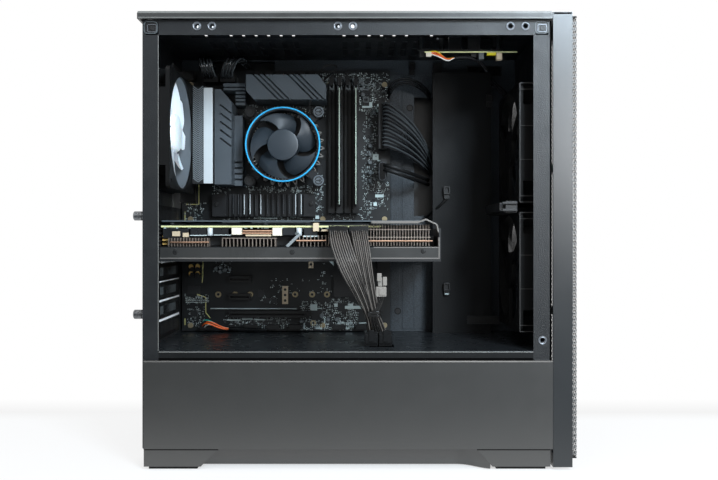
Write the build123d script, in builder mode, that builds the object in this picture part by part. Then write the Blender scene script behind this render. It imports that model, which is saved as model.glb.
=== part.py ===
"""A mid-tower desktop computer with its left side window taken off.

Frame: +X towards the front of the case, +Z up, and the open side faces -Y.
The origin is under the middle of the case, on the plane its feet stand on.
Lengths are millimetres.
"""
from build123d import *
import math
import os

os.makedirs("parts", exist_ok=True)

# ---------------------------------------------------------------- driving sizes
# Steel case
sheet = 1.0                # steel sheet
gap = 0.3                  # clearance between bodies that come apart
chassis_length = 395.0     # outside of the rear sheet to outside of the front sheet
chassis_width = 200.0      # outside of the left flanges to outside of the right ones
chassis_height = 415.4     # underside of the floor pan to top of the roof sheet
cover_depth = 5.0          # how far side covers stand out from the flanges
foot_height = 20.0
pad_height = 3.0
pad_inset = 4.0
foot_width = 40.0
rear_foot = 72.0           # length of a rear foot at the pan
front_foot = 71.0
foot_slope = 17.0          # how much a foot shortens down to the ground
foot_proud = 3.0           # how far feet stand out from the flanges
skirt_set_in = 19.0        # the skirt between two feet stands this far behind their outer faces
skirt_lift = 1.0           # room under the skirt
skirt_thick = 2.0
rear_flange = 15.6
front_flange = 15.8
roof_flange = 14.5
deck_height = 94.5         # deck of the power supply chamber above the pan's underside
tray_room = 20.0           # cable space behind the board tray
top_cover_height = 7.6
top_overhang = 4.0
bezel_depth = 18.6
bezel_gap = 2.2            # dark recess between the frame and the front panel
mesh_depth = 4.6
thumb_length = 13.5        # retainer screws stand out this far behind the case
lower_cover_height = 85.1
# Expansion slots
slot_pitch = 20.32
slot_count = 7
slot_opening = 14.0
bracket_width = 18.4
bracket_thick = 0.9
bracket_tab = 10.5
# Mainboard
board_length = 305.0
board_depth = 244.0
board_thick = 1.6
standoff = 6.4
board_rear_gap = 2.5       # board edge to outside of the rear sheet
board_lift = 1.0           # board edge above the deck
io_width = 158.75
io_depth = 44.45
io_above_board = 144.1     # lower edge of the port opening above the board's edge
port_gap = 0.4
# Fans
fan_size = 120.0
fan_depth = 25.0
fan_bore = 57.6
blade_tip = 56.3
fan_hub = 20.0
fan_screws = 105.0         # screw pitch of a 120 mm fan
shaft = 1.5                # radius of every rotor shaft
shaft_fit = 0.05           # radial running clearance of a shaft
# Cooler
cooler_pins = 78.0
ring_radius = 41.9
ring_width = 1.6
pin_cap = 6.4
cooler_fan_tip = 36.6
cooler_hub = 17.5
# Graphics card
card_length = 292.0
card_pitch = 95.0
card_fan_tip = 43.0
card_hub = 16.0
# Power supply
supply_length = 160.0
supply_width = 150.0
supply_height = 86.0
supply_fan_tip = 56.0
# Cables
lead = 6.0                 # outside of a sleeved bundle
usb_cord = 5.0

# ---------------------------------------------------------------- places
origin_lead = 1.55         # the origin lies this far in front of the middle of the overall box
overall = thumb_length + chassis_length + bezel_gap + bezel_depth + mesh_depth
rear_x = -overall / 2 + thumb_length - origin_lead
front_x = rear_x + chassis_length
left_y = -chassis_width / 2
right_y = chassis_width / 2
floor_z = foot_height
roof_z = floor_z + chassis_height
top_z = roof_z + top_cover_height
deck_z = floor_z + deck_height
tray_y = right_y - tray_room
board_y = tray_y - standoff - board_thick
board_x = rear_x + board_rear_gap
board_z = deck_z + board_lift
board_end = board_x + board_depth
io_z = board_z + io_above_board
io_y = board_y + 2.45 - io_depth
card_z = board_z + 121.7
slot_top = card_z - 8.2 + slot_pitch
slot_y = (board_y - 122.0, board_y - 12.0)
rear_fan_y = left_y + sheet + gap + 0.2 + fan_size / 2
rear_fan_z = board_z + 217.5
front_fan_y = left_y + 80.0
front_fan_z = (board_z + 203.4, board_z + 74.7)
cooler_x = board_x + 122.5
cooler_z = board_z + 213.0


def block(x, y, z, mode=Mode.ADD):
    """Add a box between low and high faces, each given as a pair."""
    with Locations(((x[0] + x[1]) / 2, (y[0] + y[1]) / 2, (z[0] + z[1]) / 2)):
        Box(x[1] - x[0], y[1] - y[0], z[1] - z[0], mode=mode)


def save(piece, label):
    """Name a finished piece and write its own file."""
    piece.part.label = label
    export_step(piece.part, f"parts/{label}.step")


def slot_z(index):
    """Height of the middle of an expansion slot, counted from the top."""
    return slot_top - index * slot_pitch


# ---------------------------------------------------------------- rear panel
supply_x = (rear_x + sheet + 0.2, rear_x + sheet + 0.2 + supply_length)
supply_y = (board_y + 13.0 - supply_width, board_y + 13.0)
supply_z = (floor_z + sheet + 2.0, floor_z + sheet + 2.0 + supply_height)
retainer_y = left_y + 20.0
retainer_z = (slot_z(0) - 3.4, slot_z(5) + 0.5)
shelf_z = (slot_z(slot_count - 1) - 10.5, slot_z(0) + 10.5)
panel_screw_y = right_y - 6.0
panel_screw_z = (floor_z + 60.0, roof_z - 60.0)
screw_hole = 2.2
catch = (12.5, 12.0)
catch_z = roof_z - 8.5
rear_catch_x = rear_x + 9.3
front_catch_x = front_x - 7.6

with BuildPart() as rear_panel:
    block((rear_x, rear_x + sheet), (left_y, right_y), (floor_z, roof_z))
    for side in (left_y, right_y - sheet):
        block((rear_x, rear_x + rear_flange), (side, side + sheet), (floor_z, roof_z - sheet))
    # port opening and power supply opening
    through = (rear_x - 1, rear_x + sheet + 1)
    block(through, (io_y, io_y + io_depth), (io_z, io_z + io_width), Mode.SUBTRACT)
    block(through, (supply_y[0] + 6, supply_y[1] - 6), (supply_z[0] + 5, supply_z[1] - 5), Mode.SUBTRACT)
    # slit for the bracket tabs, and the slot openings
    block(through, (slot_y[0] - 2.5, slot_y[0]), (shelf_z[0] + 0.5, shelf_z[1] - 0.5), Mode.SUBTRACT)
    for index in range(slot_count):
        middle = slot_z(index)
        opening = (middle - slot_opening / 2, middle + slot_opening / 2)
        block(through, (slot_y[0] - 1, slot_y[1] - 4), opening, Mode.SUBTRACT)
    # exhaust opening: hexagonal holes inside the fan's circle
    with BuildSketch(Plane(origin=(rear_x, rear_fan_y, rear_fan_z), x_dir=(0, 1, 0), z_dir=(1, 0, 0))):
        with HexLocations(5.4, 13, 13):
            RegularPolygon(4.9, 6)
        Circle(fan_bore - 1, mode=Mode.INTERSECT)
    extrude(amount=sheet, mode=Mode.SUBTRACT)
    # shelf that carries the bracket tabs
    block((rear_x - bracket_tab, rear_x + 0.5), (slot_y[0], slot_y[0] + sheet), shelf_z)
    # screw holes: fan, retainer and right side panel
    with Locations(Plane(origin=(rear_x, 0, 0), x_dir=(0, 1, 0), z_dir=(1, 0, 0))):
        with Locations((rear_fan_y, rear_fan_z)):
            with GridLocations(fan_screws, fan_screws, 2, 2):
                Hole(screw_hole)
        with Locations([(retainer_y, z) for z in retainer_z]):
            Hole(screw_hole)
        with Locations([(panel_screw_y, z) for z in panel_screw_z]):
            Hole(screw_hole)
    # recess for the window's rear catch
    block((rear_catch_x - catch[0] / 2, rear_catch_x + catch[0] / 2), (left_y - 1, left_y + sheet + 1),
          (catch_z - catch[1] / 2, catch_z + catch[1] / 2), Mode.SUBTRACT)
save(rear_panel, "rear_panel")

# ---------------------------------------------------------------- roof sheet
vent_pitch = 12.95
vent_x = (rear_x + 51.5, rear_x + 194.5)      # first slot of each fan place
vent_rows = ((-50.0, -35.0), (-14.0, 18.0), (24.0, 56.0))
board_port_y = rear_fan_y + 10.5              # row of front ports, seen from above
front_ports_x = (front_x - 124.0, front_x - 36.0)
button_x = front_x - 42.0
button_radius = 6.0
ports_x = (front_x - 84.0, front_x - 64.0)
jack_x = front_x - 98.0
port_size = (13.2, 6.0)
socket_x = [front_x - d for d in (342.0, 327.5, 205.4, 190.8, 38.0, 23.4)]
socket_z = roof_z - 5.8
socket_bore = 2.2
socket_rim = 4.2
front_socket = (front_x - 7.0, deck_z + 10.5)

with BuildPart() as top_frame:
    inner_x = (rear_x + sheet, front_x - sheet)
    block(inner_x, (left_y, right_y), (roof_z - sheet, roof_z))
    for side in (left_y, right_y - sheet):
        block((rear_x + rear_flange, front_x - front_flange), (side, side + sheet),
              (roof_z - roof_flange, roof_z))
    for start in vent_x:
        for row in vent_rows:
            for index in range(8):
                x = start + index * vent_pitch
                block((x - 2.9, x + 2.9), row, (roof_z - 2, roof_z + 1), Mode.SUBTRACT)
    block((jack_x - 5, button_x + 10), (board_port_y - 7, board_port_y + 7),
          (roof_z - 2, roof_z + 1), Mode.SUBTRACT)
    with Locations(Plane(origin=(0, left_y, 0), x_dir=(1, 0, 0), z_dir=(0, -1, 0))):
        with Locations([(x, socket_z) for x in socket_x]):
            Hole(socket_bore + 0.8, depth=2 * sheet)
save(top_frame, "top_frame")

# ---------------------------------------------------------------- floor pan
with BuildPart() as bottom_pan:
    inner_y = (left_y + sheet, right_y - sheet)
    block(inner_x, inner_y, (floor_z, floor_z + sheet))
    vent_centre = ((supply_x[0] + supply_x[1]) / 2 + 6, (supply_y[0] + supply_y[1]) / 2)
    with Locations((*vent_centre, floor_z)):
        with GridLocations(13.0, 13.0, 9, 9):
            Box(10, 10, 4, mode=Mode.SUBTRACT)
save(bottom_pan, "bottom_pan")

# ---------------------------------------------------------------- front frame
with BuildPart() as front_frame:
    block((front_x - sheet, front_x), (left_y, right_y), (floor_z, roof_z))
    for side in (left_y, right_y - sheet):
        block((front_x - front_flange, front_x), (side, side + sheet), (floor_z, roof_z - sheet))
    with Locations(Plane(origin=(front_x, 0, 0), x_dir=(0, 1, 0), z_dir=(1, 0, 0))):
        for z in front_fan_z:
            with Locations((front_fan_y, z)):
                Hole(fan_bore - 0.5, depth=2 * sheet)
                with GridLocations(fan_screws, fan_screws, 2, 2):
                    Hole(screw_hole, depth=2 * sheet)
    block((front_catch_x - catch[0] / 2, front_catch_x + catch[0] / 2), (left_y - 1, left_y + sheet + 1),
          (catch_z - catch[1] / 2, catch_z + catch[1] / 2), Mode.SUBTRACT)
    with Locations(Plane(origin=(0, left_y, 0), x_dir=(1, 0, 0), z_dir=(0, -1, 0))):
        with Locations(front_socket):
            Hole(socket_bore + 0.8, depth=2 * sheet)
save(front_frame, "front_frame")

# ---------------------------------------------------------------- board tray
cover_x = rear_x + 295.0                     # rear edge of the cable cover
cable_slot = 4.0                             # way for cables beside the cover
cover_y = tray_y - 25.0
cover_top = roof_z - 20.4
eps_slot_z = roof_z - 13.0
tray_cut = (tray_y - 1, tray_y + 2)

with BuildPart() as motherboard_tray:
    block(inner_x, (tray_y, tray_y + sheet), (deck_z, roof_z - sheet))
    # cable ways: beside the board, above it and above the cable cover
    block((cover_x - 5 * cable_slot, cover_x + 12), tray_cut, (board_z + 135, board_z + 275), Mode.SUBTRACT)
    block((board_x + 18, board_x + 108), tray_cut, (eps_slot_z - 4, eps_slot_z + 10.6), Mode.SUBTRACT)
    block((front_x - 56.5, front_x - 17.5), tray_cut, (cover_top + 1, cover_top + 12), Mode.SUBTRACT)
    # window behind the processor for the cooler's backplate
    block((cooler_x - 55, cooler_x + 55), tray_cut, (cooler_z - 55, cooler_z + 55), Mode.SUBTRACT)
    for x, z in ((board_end + 23, board_z + 263), (board_end + 9, board_z + 12)):
        with Locations(Plane(origin=(x, tray_y, z), x_dir=(1, 0, 0), z_dir=(0, -1, 0))):
            Hole(3.0, depth=4)
save(motherboard_tray, "motherboard_tray")

# ---------------------------------------------------------------- cable cover
with BuildPart() as cable_cover:
    block((cover_x, front_x - fan_depth - 8), (cover_y, cover_y + sheet), (deck_z, cover_top))
    block((front_x - fan_depth - 9, front_x - fan_depth - 8), (cover_y, tray_y), (deck_z, cover_top))
    block((cover_x, cover_x + sheet), (cover_y, cover_y + 9), (deck_z, cover_top))
save(cable_cover, "cable_cover")

# ---------------------------------------------------------------- power supply chamber
cutout_x = (board_end - 26.0, board_end - 1.0)
cutout_y = (left_y + 30.0, left_y + 58.0)

with BuildPart() as psu_shroud:
    block(inner_x, (left_y, tray_y + sheet), (deck_z - sheet, deck_z))
    block((rear_x + rear_flange, front_x - front_flange), (left_y, left_y + sheet), (floor_z, deck_z))
    # the deck is notched round both flanges
    for ends in ((rear_x, rear_x + rear_flange + 0.5), (front_x - front_flange - 0.5, front_x)):
        block(ends, (left_y - 1, left_y + sheet), (deck_z - 2, deck_z + 1), Mode.SUBTRACT)
    block(cutout_x, cutout_y, (deck_z - 2, deck_z + 1), Mode.SUBTRACT)
    # intake slots in the side wall, behind the lower cover
    for index in range(9):
        x = rear_x + 60 + index * 14
        block((x, x + 8), (left_y - 1, left_y + 2), (floor_z + 22, floor_z + 66), Mode.SUBTRACT)
save(psu_shroud, "psu_shroud")

with BuildPart() as lower_side_cover:
    cover_ends = (rear_x + 2, front_x + bezel_gap - gap)
    block(cover_ends, (left_y - cover_depth, left_y), (floor_z + gap, floor_z + gap + lower_cover_height))
    block((cover_ends[0] + 2, cover_ends[1] - 2), (left_y - cover_depth + 1.5, left_y + 1),
          (floor_z + gap + 2, floor_z + gap + lower_cover_height - 2), Mode.SUBTRACT)
    rim = lower_side_cover.edges().filter_by(Axis.X).group_by(Axis.Y)[0].sort_by(Axis.Z)[-1]
    chamfer(rim, 1.2)
save(lower_side_cover, "lower_side_cover")

# ---------------------------------------------------------------- top panel
filter_x = (rear_x + 42.0, rear_x + 298.0)
filter_y = (-8.0, 74.0)
opening_y = (-48.0, 76.0)
panel_wall = 2.2

with BuildPart() as top_panel:
    panel_x = (rear_x - top_overhang, front_x + bezel_gap - gap)
    panel_y = (left_y - cover_depth, right_y + cover_depth)
    block(panel_x, panel_y, (roof_z, top_z))
    rims = top_panel.edges().group_by(Axis.Z)[-1]
    fillet(rims, 2.6)
    block((panel_x[0] + panel_wall, panel_x[1] - panel_wall),
          (panel_y[0] + panel_wall, panel_y[1] - panel_wall), (roof_z - 1, top_z - panel_wall),
          Mode.SUBTRACT)
    block((filter_x[0] - 2, filter_x[1] + 2), opening_y, (roof_z, top_z + 1), Mode.SUBTRACT)
    with Locations((button_x, board_port_y, top_z)):
        Hole(button_radius + gap)
    with Locations((jack_x, board_port_y, top_z)):
        Hole(3.4)
    for x in ports_x:
        with Locations((x, board_port_y, top_z)):
            Box(port_size[0] + 0.8, port_size[1] + 0.8, 10, mode=Mode.SUBTRACT)
save(top_panel, "top_panel")

with BuildPart() as top_filter:
    low = roof_z + gap
    frame_z = (low, low + 5.0)
    block(filter_x, filter_y, frame_z)
    block((filter_x[0] + 4, filter_x[1] - 4), (filter_y[0] + 4, filter_y[1] - 4), (low + 0.8, low + 6),
          Mode.SUBTRACT)
    for index in range(1, 8):
        x = filter_x[0] + index * (filter_x[1] - filter_x[0]) / 8
        block((x - 1, x + 1), (filter_y[0] + 2, filter_y[1] - 2), (low, low + 3))
save(top_filter, "top_filter")

# ---------------------------------------------------------------- window catches
with BuildPart() as side_panel_sockets:
    rims_at = [(x, socket_z) for x in socket_x] + [front_socket]
    with Locations(Plane(origin=(0, left_y + sheet + 3, 0), x_dir=(1, 0, 0), z_dir=(0, -1, 0))):
        with Locations(rims_at):
            Cylinder(socket_bore + 0.8, sheet + 3.6, align=(Align.CENTER, Align.CENTER, Align.MIN))
            with Locations((0, 0, sheet + 3)):
                Cylinder(socket_rim, 0.6, align=(Align.CENTER, Align.CENTER, Align.MIN))
            Hole(socket_bore)
    for x in (rear_catch_x, front_catch_x):
        block((x - 6.2, x + 6.2), (left_y + sheet, left_y + sheet + 1.2), (catch_z - 7.0, catch_z + 7.0))
        block((x - 6.2, x - 3.5), (left_y + sheet, left_y + sheet + 3), (catch_z - 7.0, catch_z + 7.0))
        with Locations(Plane(origin=(x + 1.5, left_y + sheet, catch_z), x_dir=(1, 0, 0), z_dir=(0, -1, 0))):
            Hole(1.6, depth=8)
save(side_panel_sockets, "side_panel_sockets")

# ---------------------------------------------------------------- feet
rear_foot_x = (rear_x + 2, rear_x + 2 + rear_foot)
front_foot_x = (front_x - front_foot, front_x)
foot_sides = (left_y - foot_proud, right_y + foot_proud - foot_width)
skirt_reach = front_foot_x[0] + foot_slope - 4     # where the skirt meets the front foot's outer face

with BuildPart() as feet:
    for y in foot_sides:
        for ends, slope_ends in ((rear_foot_x, (0, foot_slope)), (front_foot_x, (foot_slope - 2, 0))):
            with BuildSketch(Plane.XZ.offset(-(y + foot_width))):
                with BuildLine():
                    Polyline(
                        (ends[0], floor_z), (ends[1], floor_z),
                        (ends[1] - slope_ends[1], pad_height), (ends[0] + slope_ends[0], pad_height),
                        close=True,
                    )
                make_face()
            extrude(amount=foot_width)
    # a skirt joins the feet of each side, straight from the rear foot and bent out to the front one
    for side, out in ((left_y, -1), (right_y, 1)):
        with BuildSketch(Plane.XY.offset(skirt_lift)):
            with BuildLine():
                straight = Line(
                    (rear_foot_x[1] - foot_slope - pad_inset + 0.5, side + out * (foot_proud - skirt_set_in)),
                    (front_foot_x[0] - 20, side + out * (foot_proud - skirt_set_in)),
                )
                Spline(
                    straight @ 1, (skirt_reach, side + out * (foot_proud - 1.2)),
                    tangents=((1, 0), (1, 0.35 * out)),
                )
            trace(line_width=skirt_thick)
        extrude(amount=floor_z - skirt_lift)
save(feet, "feet")

sole_ends = (
    (rear_foot_x[0], rear_foot_x[1] - foot_slope), (front_foot_x[0] + foot_slope - 2, front_foot_x[1]),
)
with BuildPart() as foot_pads:
    for y in foot_sides:
        sole = (y + pad_inset, y + foot_width - pad_inset)
        for low, high in sole_ends:
            block((low + pad_inset, high - pad_inset), sole, (0, pad_height))
save(foot_pads, "foot_pads")

# ---------------------------------------------------------------- slot covers and brackets
bracket_x = (rear_x + sheet, rear_x + sheet + bracket_thick)
bracket_y = (slot_y[0] - bracket_thick, slot_y[1])


def bracket(z_low, z_high):
    """Flat strip inside the rear sheet with its tab lying on the shelf."""
    block(bracket_x, bracket_y, (z_low, z_high))
    block((rear_x - bracket_tab + 1, bracket_x[1]), (bracket_y[0], slot_y[0]), (z_low, z_high))


with BuildPart() as slot_covers:
    for index in (0, 3, 4, 5, 6):
        middle = slot_z(index)
        bracket(middle - bracket_width / 2, middle + bracket_width / 2)
        for step in range(17):
            y = slot_y[0] + 16 + step * 5.0
            block((rear_x, rear_x + 3), (y, y + 2.4), (middle - 5.2, middle + 5.2), Mode.SUBTRACT)
save(slot_covers, "slot_covers")

with BuildPart() as slot_retainer:
    lip_y = (bracket_y[0] - 1.2, bracket_y[0])
    block((rear_x - 1.2, rear_x), (left_y + 6, lip_y[1]), shelf_z)
    block((rear_x - bracket_tab + 1, rear_x), lip_y, shelf_z)
    with Locations(Plane(origin=(rear_x, 0, 0), x_dir=(0, 1, 0), z_dir=(1, 0, 0))):
        with Locations([(retainer_y, z) for z in retainer_z]):
            Hole(screw_hole, depth=8)
save(slot_retainer, "slot_retainer")

with BuildPart(Plane(origin=(rear_x, 0, 0), x_dir=(0, -1, 0), z_dir=(-1, 0, 0))) as retainer_thumbscrews:
    bottom = (Align.CENTER, Align.CENTER, Align.MIN)
    with Locations([(-retainer_y, z, -2.5) for z in retainer_z]):
        Cylinder(screw_hole - 0.2, 5, align=bottom)
    with Locations([(-retainer_y, z, 1.2) for z in retainer_z]):
        Cylinder(3.4, 4.3, align=bottom)
    with Locations([(-retainer_y, z, 5.5) for z in retainer_z]):
        Cylinder(4.6, thumb_length - 5.5, align=bottom)
    chamfer(retainer_thumbscrews.edges().filter_by(GeomType.CIRCLE).group_by(Axis.X)[0], 0.8)
save(retainer_thumbscrews, "retainer_thumbscrews")

# ---------------------------------------------------------------- rear ports and their shield
# height above the opening's lower edge, width up the board, depth off the board
rear_ports = (
    (6.0, 33.0, 7.0), (43.0, 16.0, 14.5), (63.0, 16.0, 22.0), (83.0, 16.0, 30.0),
    (103.0, 16.0, 14.5), (123.0, 14.0, 30.0), (148.2, 9.0, 13.0),
)
with BuildPart() as io_shield:
    block((rear_x + sheet, rear_x + sheet + 0.6), (io_y - 2, board_y - gap),
          (io_z - 0.8, io_z + io_width + 2))
    for low, width, depth in rear_ports:
        block((rear_x, rear_x + 3), (board_y - depth - port_gap, board_y),
              (io_z + low - port_gap, io_z + low + width + port_gap), Mode.SUBTRACT)
save(io_shield, "io_shield")

# ---------------------------------------------------------------- mainboard
hole_columns = [board_x + d for d in (10.16, 165.10, 237.49)]
hole_rows = [board_z + d for d in (6.55, 131.0, 288.5)]
board_holes = [(x, z) for x in hole_columns for z in hole_rows]
cooler_pin_at = [
    (cooler_x + i * cooler_pins / 2, cooler_z + j * cooler_pins / 2) for i in (-1, 1) for j in (-1, 1)
]
facing = Plane(origin=(0, board_y, 0), x_dir=(1, 0, 0), z_dir=(0, -1, 0))   # component side
pin_shank = 2.0

with BuildPart() as motherboard_pcb:
    block((board_x, board_end), (board_y, board_y + board_thick), (board_z, board_z + board_length))
    with Locations(facing):
        with Locations(board_holes):
            Hole(2.0, depth=2 * board_thick)
        with Locations(cooler_pin_at):
            Hole(pin_shank + 0.05, depth=2 * board_thick)
save(motherboard_pcb, "motherboard_pcb")

with BuildPart(facing) as standoffs:
    for x, z in board_holes:
        with Locations((x, z, 0)):
            Cylinder(3.1, 1.8, align=bottom)
        with Locations((x, z, -board_thick - 2)):
            Cylinder(1.5, board_thick + 2, align=bottom)
        with BuildSketch(facing.offset(-board_thick - standoff)):
            with Locations((x, z)):
                RegularPolygon(2.9, 6, major_radius=False)
        extrude(amount=standoff)
save(standoffs, "standoffs")

# ---------------------------------------------------------------- heatsinks on the board
vrm_x = (board_x + 80.5, board_x + 170.5)
vrm_z = (board_z + 264.5, board_z + 292.5)
vrm_y = board_y - 42.0

with BuildPart() as vrm_heatsink_top:
    with BuildSketch(facing):
        with BuildLine():
            Polyline(
                (vrm_x[0] + 9, vrm_z[0]), (vrm_x[1], vrm_z[0]), (vrm_x[1], vrm_z[1] - 12),
                (vrm_x[1] - 9, vrm_z[1]), (vrm_x[0], vrm_z[1]), (vrm_x[0], vrm_z[0] + 10),
                close=True,
            )
        make_face()
    extrude(amount=42.0)
    for start in (vrm_x[0] + 22, vrm_x[0] + 61):
        for index in range(3):
            middle = (start + index * 6.2, vrm_y, (vrm_z[0] + vrm_z[1]) / 2)
            with Locations(Plane(origin=middle, x_dir=(1, 0, -1), z_dir=(0, -1, 0))):
                Box(60, 1.7, 12, mode=Mode.SUBTRACT)
    # ribbed wing towards the rear, stepped round the left heatsink
    block((vrm_x[0] - 14, vrm_x[0] - 3), (board_y - 26, board_y), (vrm_z[0] - 4, vrm_z[1] - 7))
    block((vrm_x[0] - 28, vrm_x[0] - 3), (board_y - 26, board_y), (vrm_z[1] - 16.5, vrm_z[1] - 7))
    for index in range(5):
        z = vrm_z[0] - 1 + index * 4.2
        block((vrm_x[0] - 29, vrm_x[0] - 2), (board_y - 27, board_y - 18), (z, z + 1.4), Mode.SUBTRACT)
    with Locations(facing):
        with Locations(board_holes):
            Cylinder(4.0, 2 * 2.4, mode=Mode.SUBTRACT)
    block((vrm_x[0] - 4, vrm_x[0] + 2), (board_y - 8, board_y), (vrm_z[0] + 12, vrm_z[1] - 8))
save(vrm_heatsink_top, "vrm_heatsink_top")

left_sink_x = (board_x + 46.8, board_x + 65.5)
left_sink_z = (board_z + 168.5, board_z + 274.5)

with BuildPart() as vrm_heatsink_left:
    with BuildSketch(facing):
        with BuildLine():
            Polyline(
                (left_sink_x[0], left_sink_z[0]), (left_sink_x[1], left_sink_z[0]),
                (left_sink_x[1], left_sink_z[1] - 14), (left_sink_x[1] - 12, left_sink_z[1]),
                (left_sink_x[0], left_sink_z[1]), close=True,
            )
        make_face()
    extrude(amount=50.0)
    for index in range(5):
        z = left_sink_z[1] - 24 - index * 9.2
        groove = Plane(origin=(left_sink_x[1] - 4, board_y - 50, z), x_dir=(1, 0, -0.75), z_dir=(0, -1, 0))
        with Locations(groove):
            Box(22, 1.8, 10, mode=Mode.SUBTRACT)
    block((left_sink_x[1] - 1, left_sink_x[1] + 9), (board_y - 26, board_y),
          (left_sink_z[0], left_sink_z[1] - 26))
    for index in range(4):
        z = left_sink_z[0] + 6 + index * 6.5
        block((left_sink_x[1], left_sink_x[1] + 10), (board_y - 27, board_y - 20), (z, z + 2.2),
              Mode.SUBTRACT)
save(vrm_heatsink_left, "vrm_heatsink_left")

io_cover_x = (rear_x + fan_depth + sheet + gap + 0.2, left_sink_x[0])
io_cover_front = board_y - 60.0
io_cover_back = max(rear_fan_y + fan_size / 2 + 3, board_y - 46.0)

with BuildPart() as io_cover:
    block(io_cover_x, (io_cover_front, board_y), left_sink_z)
    block((board_x + 3, io_cover_x[0] + 4), (io_cover_back, board_y), left_sink_z)
    # hollow behind the fan, hollow in front, and the way out for the ports
    for ends, front in (
        ((board_x + 4.5, io_cover_x[0] + 5), io_cover_back + 1.5),
        ((io_cover_x[0] + 1.5, io_cover_x[1] - 1.5), io_cover_front + 1.5),
        ((board_x + 2, board_x + 5), board_y - 32),
    ):
        block(ends, (front, board_y + 1), (left_sink_z[0] - 1, left_sink_z[1] + 1), Mode.SUBTRACT)
save(io_cover, "io_cover")

m2_x = (board_x + 37.5, board_x + 156.5)
m2_z = (board_z + 133.8, board_z + 159.8)
chip_x = (board_x + 178.0, board_x + 226.0)
chip_z = (board_z + 40.0, board_z + 86.0)

with BuildPart() as board_heatsinks:
    block(m2_x, (board_y - 12, board_y - 4), m2_z)
    for index in range(15):
        x = m2_x[0] + 16 + index * 6.2
        block((x, x + 3.2), (board_y - 13, board_y - 8), (m2_z[0] - 1, m2_z[1] + 1), Mode.SUBTRACT)
    block((m2_x[0] + 4, m2_x[0] + 9), (board_y - 5, board_y), (m2_z[0] + 8, m2_z[1] - 8))
    block((m2_x[1] - 9, m2_x[1] - 4), (board_y - 5, board_y), (m2_z[0] + 8, m2_z[1] - 8))
    block(chip_x, (board_y - 7, board_y), chip_z)
save(board_heatsinks, "board_heatsinks")

# ---------------------------------------------------------------- processor and its cooler
package = 37.5
with BuildPart() as cpu_package:
    block((cooler_x - package / 2, cooler_x + package / 2), (board_y - 7, board_y - 4.5),
          (cooler_z - package / 2, cooler_z + package / 2))
save(cpu_package, "cpu_package")

fin_count = 36
fin_outer = 44.5
fin_top = 25.0               # height of the fins' upper ends above the board
fin_bottom = 8.5
pin_stem = 4.5
pin_offsets = [(i * cooler_pins / 2, j * cooler_pins / 2) for i in (-1, 1) for j in (-1, 1)]
cooler_plane = Plane(origin=(cooler_x, board_y, cooler_z), x_dir=(1, 0, 0), z_dir=(0, -1, 0))

with BuildPart(cooler_plane) as cpu_heatsink:
    with Locations((0, 0, 7.0)):
        Cylinder(15.0, fin_top - 7.0, align=bottom)
    with PolarLocations(29.0, fin_count):
        with Locations((0, 0, fin_bottom)):
            Box(2 * (fin_outer - 29.0), 0.9, fin_top - fin_bottom, align=bottom)
    # the fins stand clear of the pins
    with Locations([(x, y, 0) for x, y in pin_offsets]):
        Cylinder(pin_stem + 0.5, fin_top + 1, align=bottom, mode=Mode.SUBTRACT)
save(cpu_heatsink, "cpu_heatsink")

duct_top = 49.5
arm_low = 25.4
pin_ring = 6.6
pin_reach = cooler_pins / math.sqrt(2)

with BuildPart(cooler_plane) as cpu_fan_frame:
    with Locations((0, 0, arm_low)):
        Cylinder(ring_radius - 1.3, duct_top - arm_low, align=bottom)
    with Locations((0, 0, arm_low - 1)):
        Cylinder(ring_radius - 3.1, duct_top, align=bottom, mode=Mode.SUBTRACT)
    # bars that carry the motor, and the arms out to the pins
    for turn in (45, 135):
        with Locations(Location((0, 0, arm_low), (0, 0, turn))):
            Box(2 * pin_reach, 9.0, 2.2, align=bottom)
    with Locations((0, 0, arm_low)):
        Cylinder(cooler_hub - 1.5, 2.4, align=bottom)
    with Locations([(x, y, arm_low) for x, y in pin_offsets]):
        Cylinder(pin_ring, 2.2, align=bottom)
        Cylinder(pin_stem + 0.1, 30, mode=Mode.SUBTRACT)
    with Locations([(x, y, arm_low + 2.2) for x, y in pin_offsets]):
        Cylinder(pin_cap + gap, duct_top, align=bottom, mode=Mode.SUBTRACT)
    Cylinder(shaft + shaft_fit, 80, mode=Mode.SUBTRACT)
save(cpu_fan_frame, "cpu_fan_frame")

with BuildPart(cooler_plane) as cpu_fan_ring:
    with Locations((0, 0, duct_top)):
        Cylinder(ring_radius, 2.4, align=bottom)
        Cylinder(ring_radius - ring_width, 10, mode=Mode.SUBTRACT)
    chamfer(cpu_fan_ring.edges().filter_by(GeomType.CIRCLE).group_by(Axis.Y)[0], 0.6)
save(cpu_fan_ring, "cpu_fan_ring")

with BuildPart(cooler_plane) as push_pins:
    with Locations([(x, y, -board_thick - 1.5) for x, y in pin_offsets]):
        Cylinder(pin_shank, board_thick + 2, align=bottom)
    with Locations([(x, y, 0) for x, y in pin_offsets]):
        Cylinder(pin_stem, arm_low + 2.3, align=bottom)
    with Locations([(x, y, arm_low + 2.2) for x, y in pin_offsets]):
        Cylinder(pin_cap, 4.6, align=bottom)
    for x, y in pin_offsets:
        with Locations((x, y, arm_low + 6.8)):
            Box(9.0, 1.6, 2.4, mode=Mode.SUBTRACT)
save(push_pins, "push_pins")


def swept_blade(root, tip, chord_root, chord_tip, pitch_root, pitch_tip, sweep, height, thick):
    """One fan blade along +X about the Z axis, from a steep root to a flatter tip."""
    with BuildPart() as blade:
        for radius, chord, pitch, ahead in (
            (root, chord_root, pitch_root, 0.0),
            ((root + tip) / 2, (chord_root + chord_tip) / 2, (pitch_root + pitch_tip) / 2, 0.35 * sweep),
            (1.15 * tip, chord_tip, pitch_tip, sweep),
        ):
            with BuildSketch(Plane(origin=(radius, ahead, height), x_dir=(0, 1, 0), z_dir=(1, 0, 0))):
                Rectangle(chord, thick, rotation=pitch)
        loft()
        Cylinder(tip, 4 * tip, mode=Mode.INTERSECT)
    return blade.part


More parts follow.
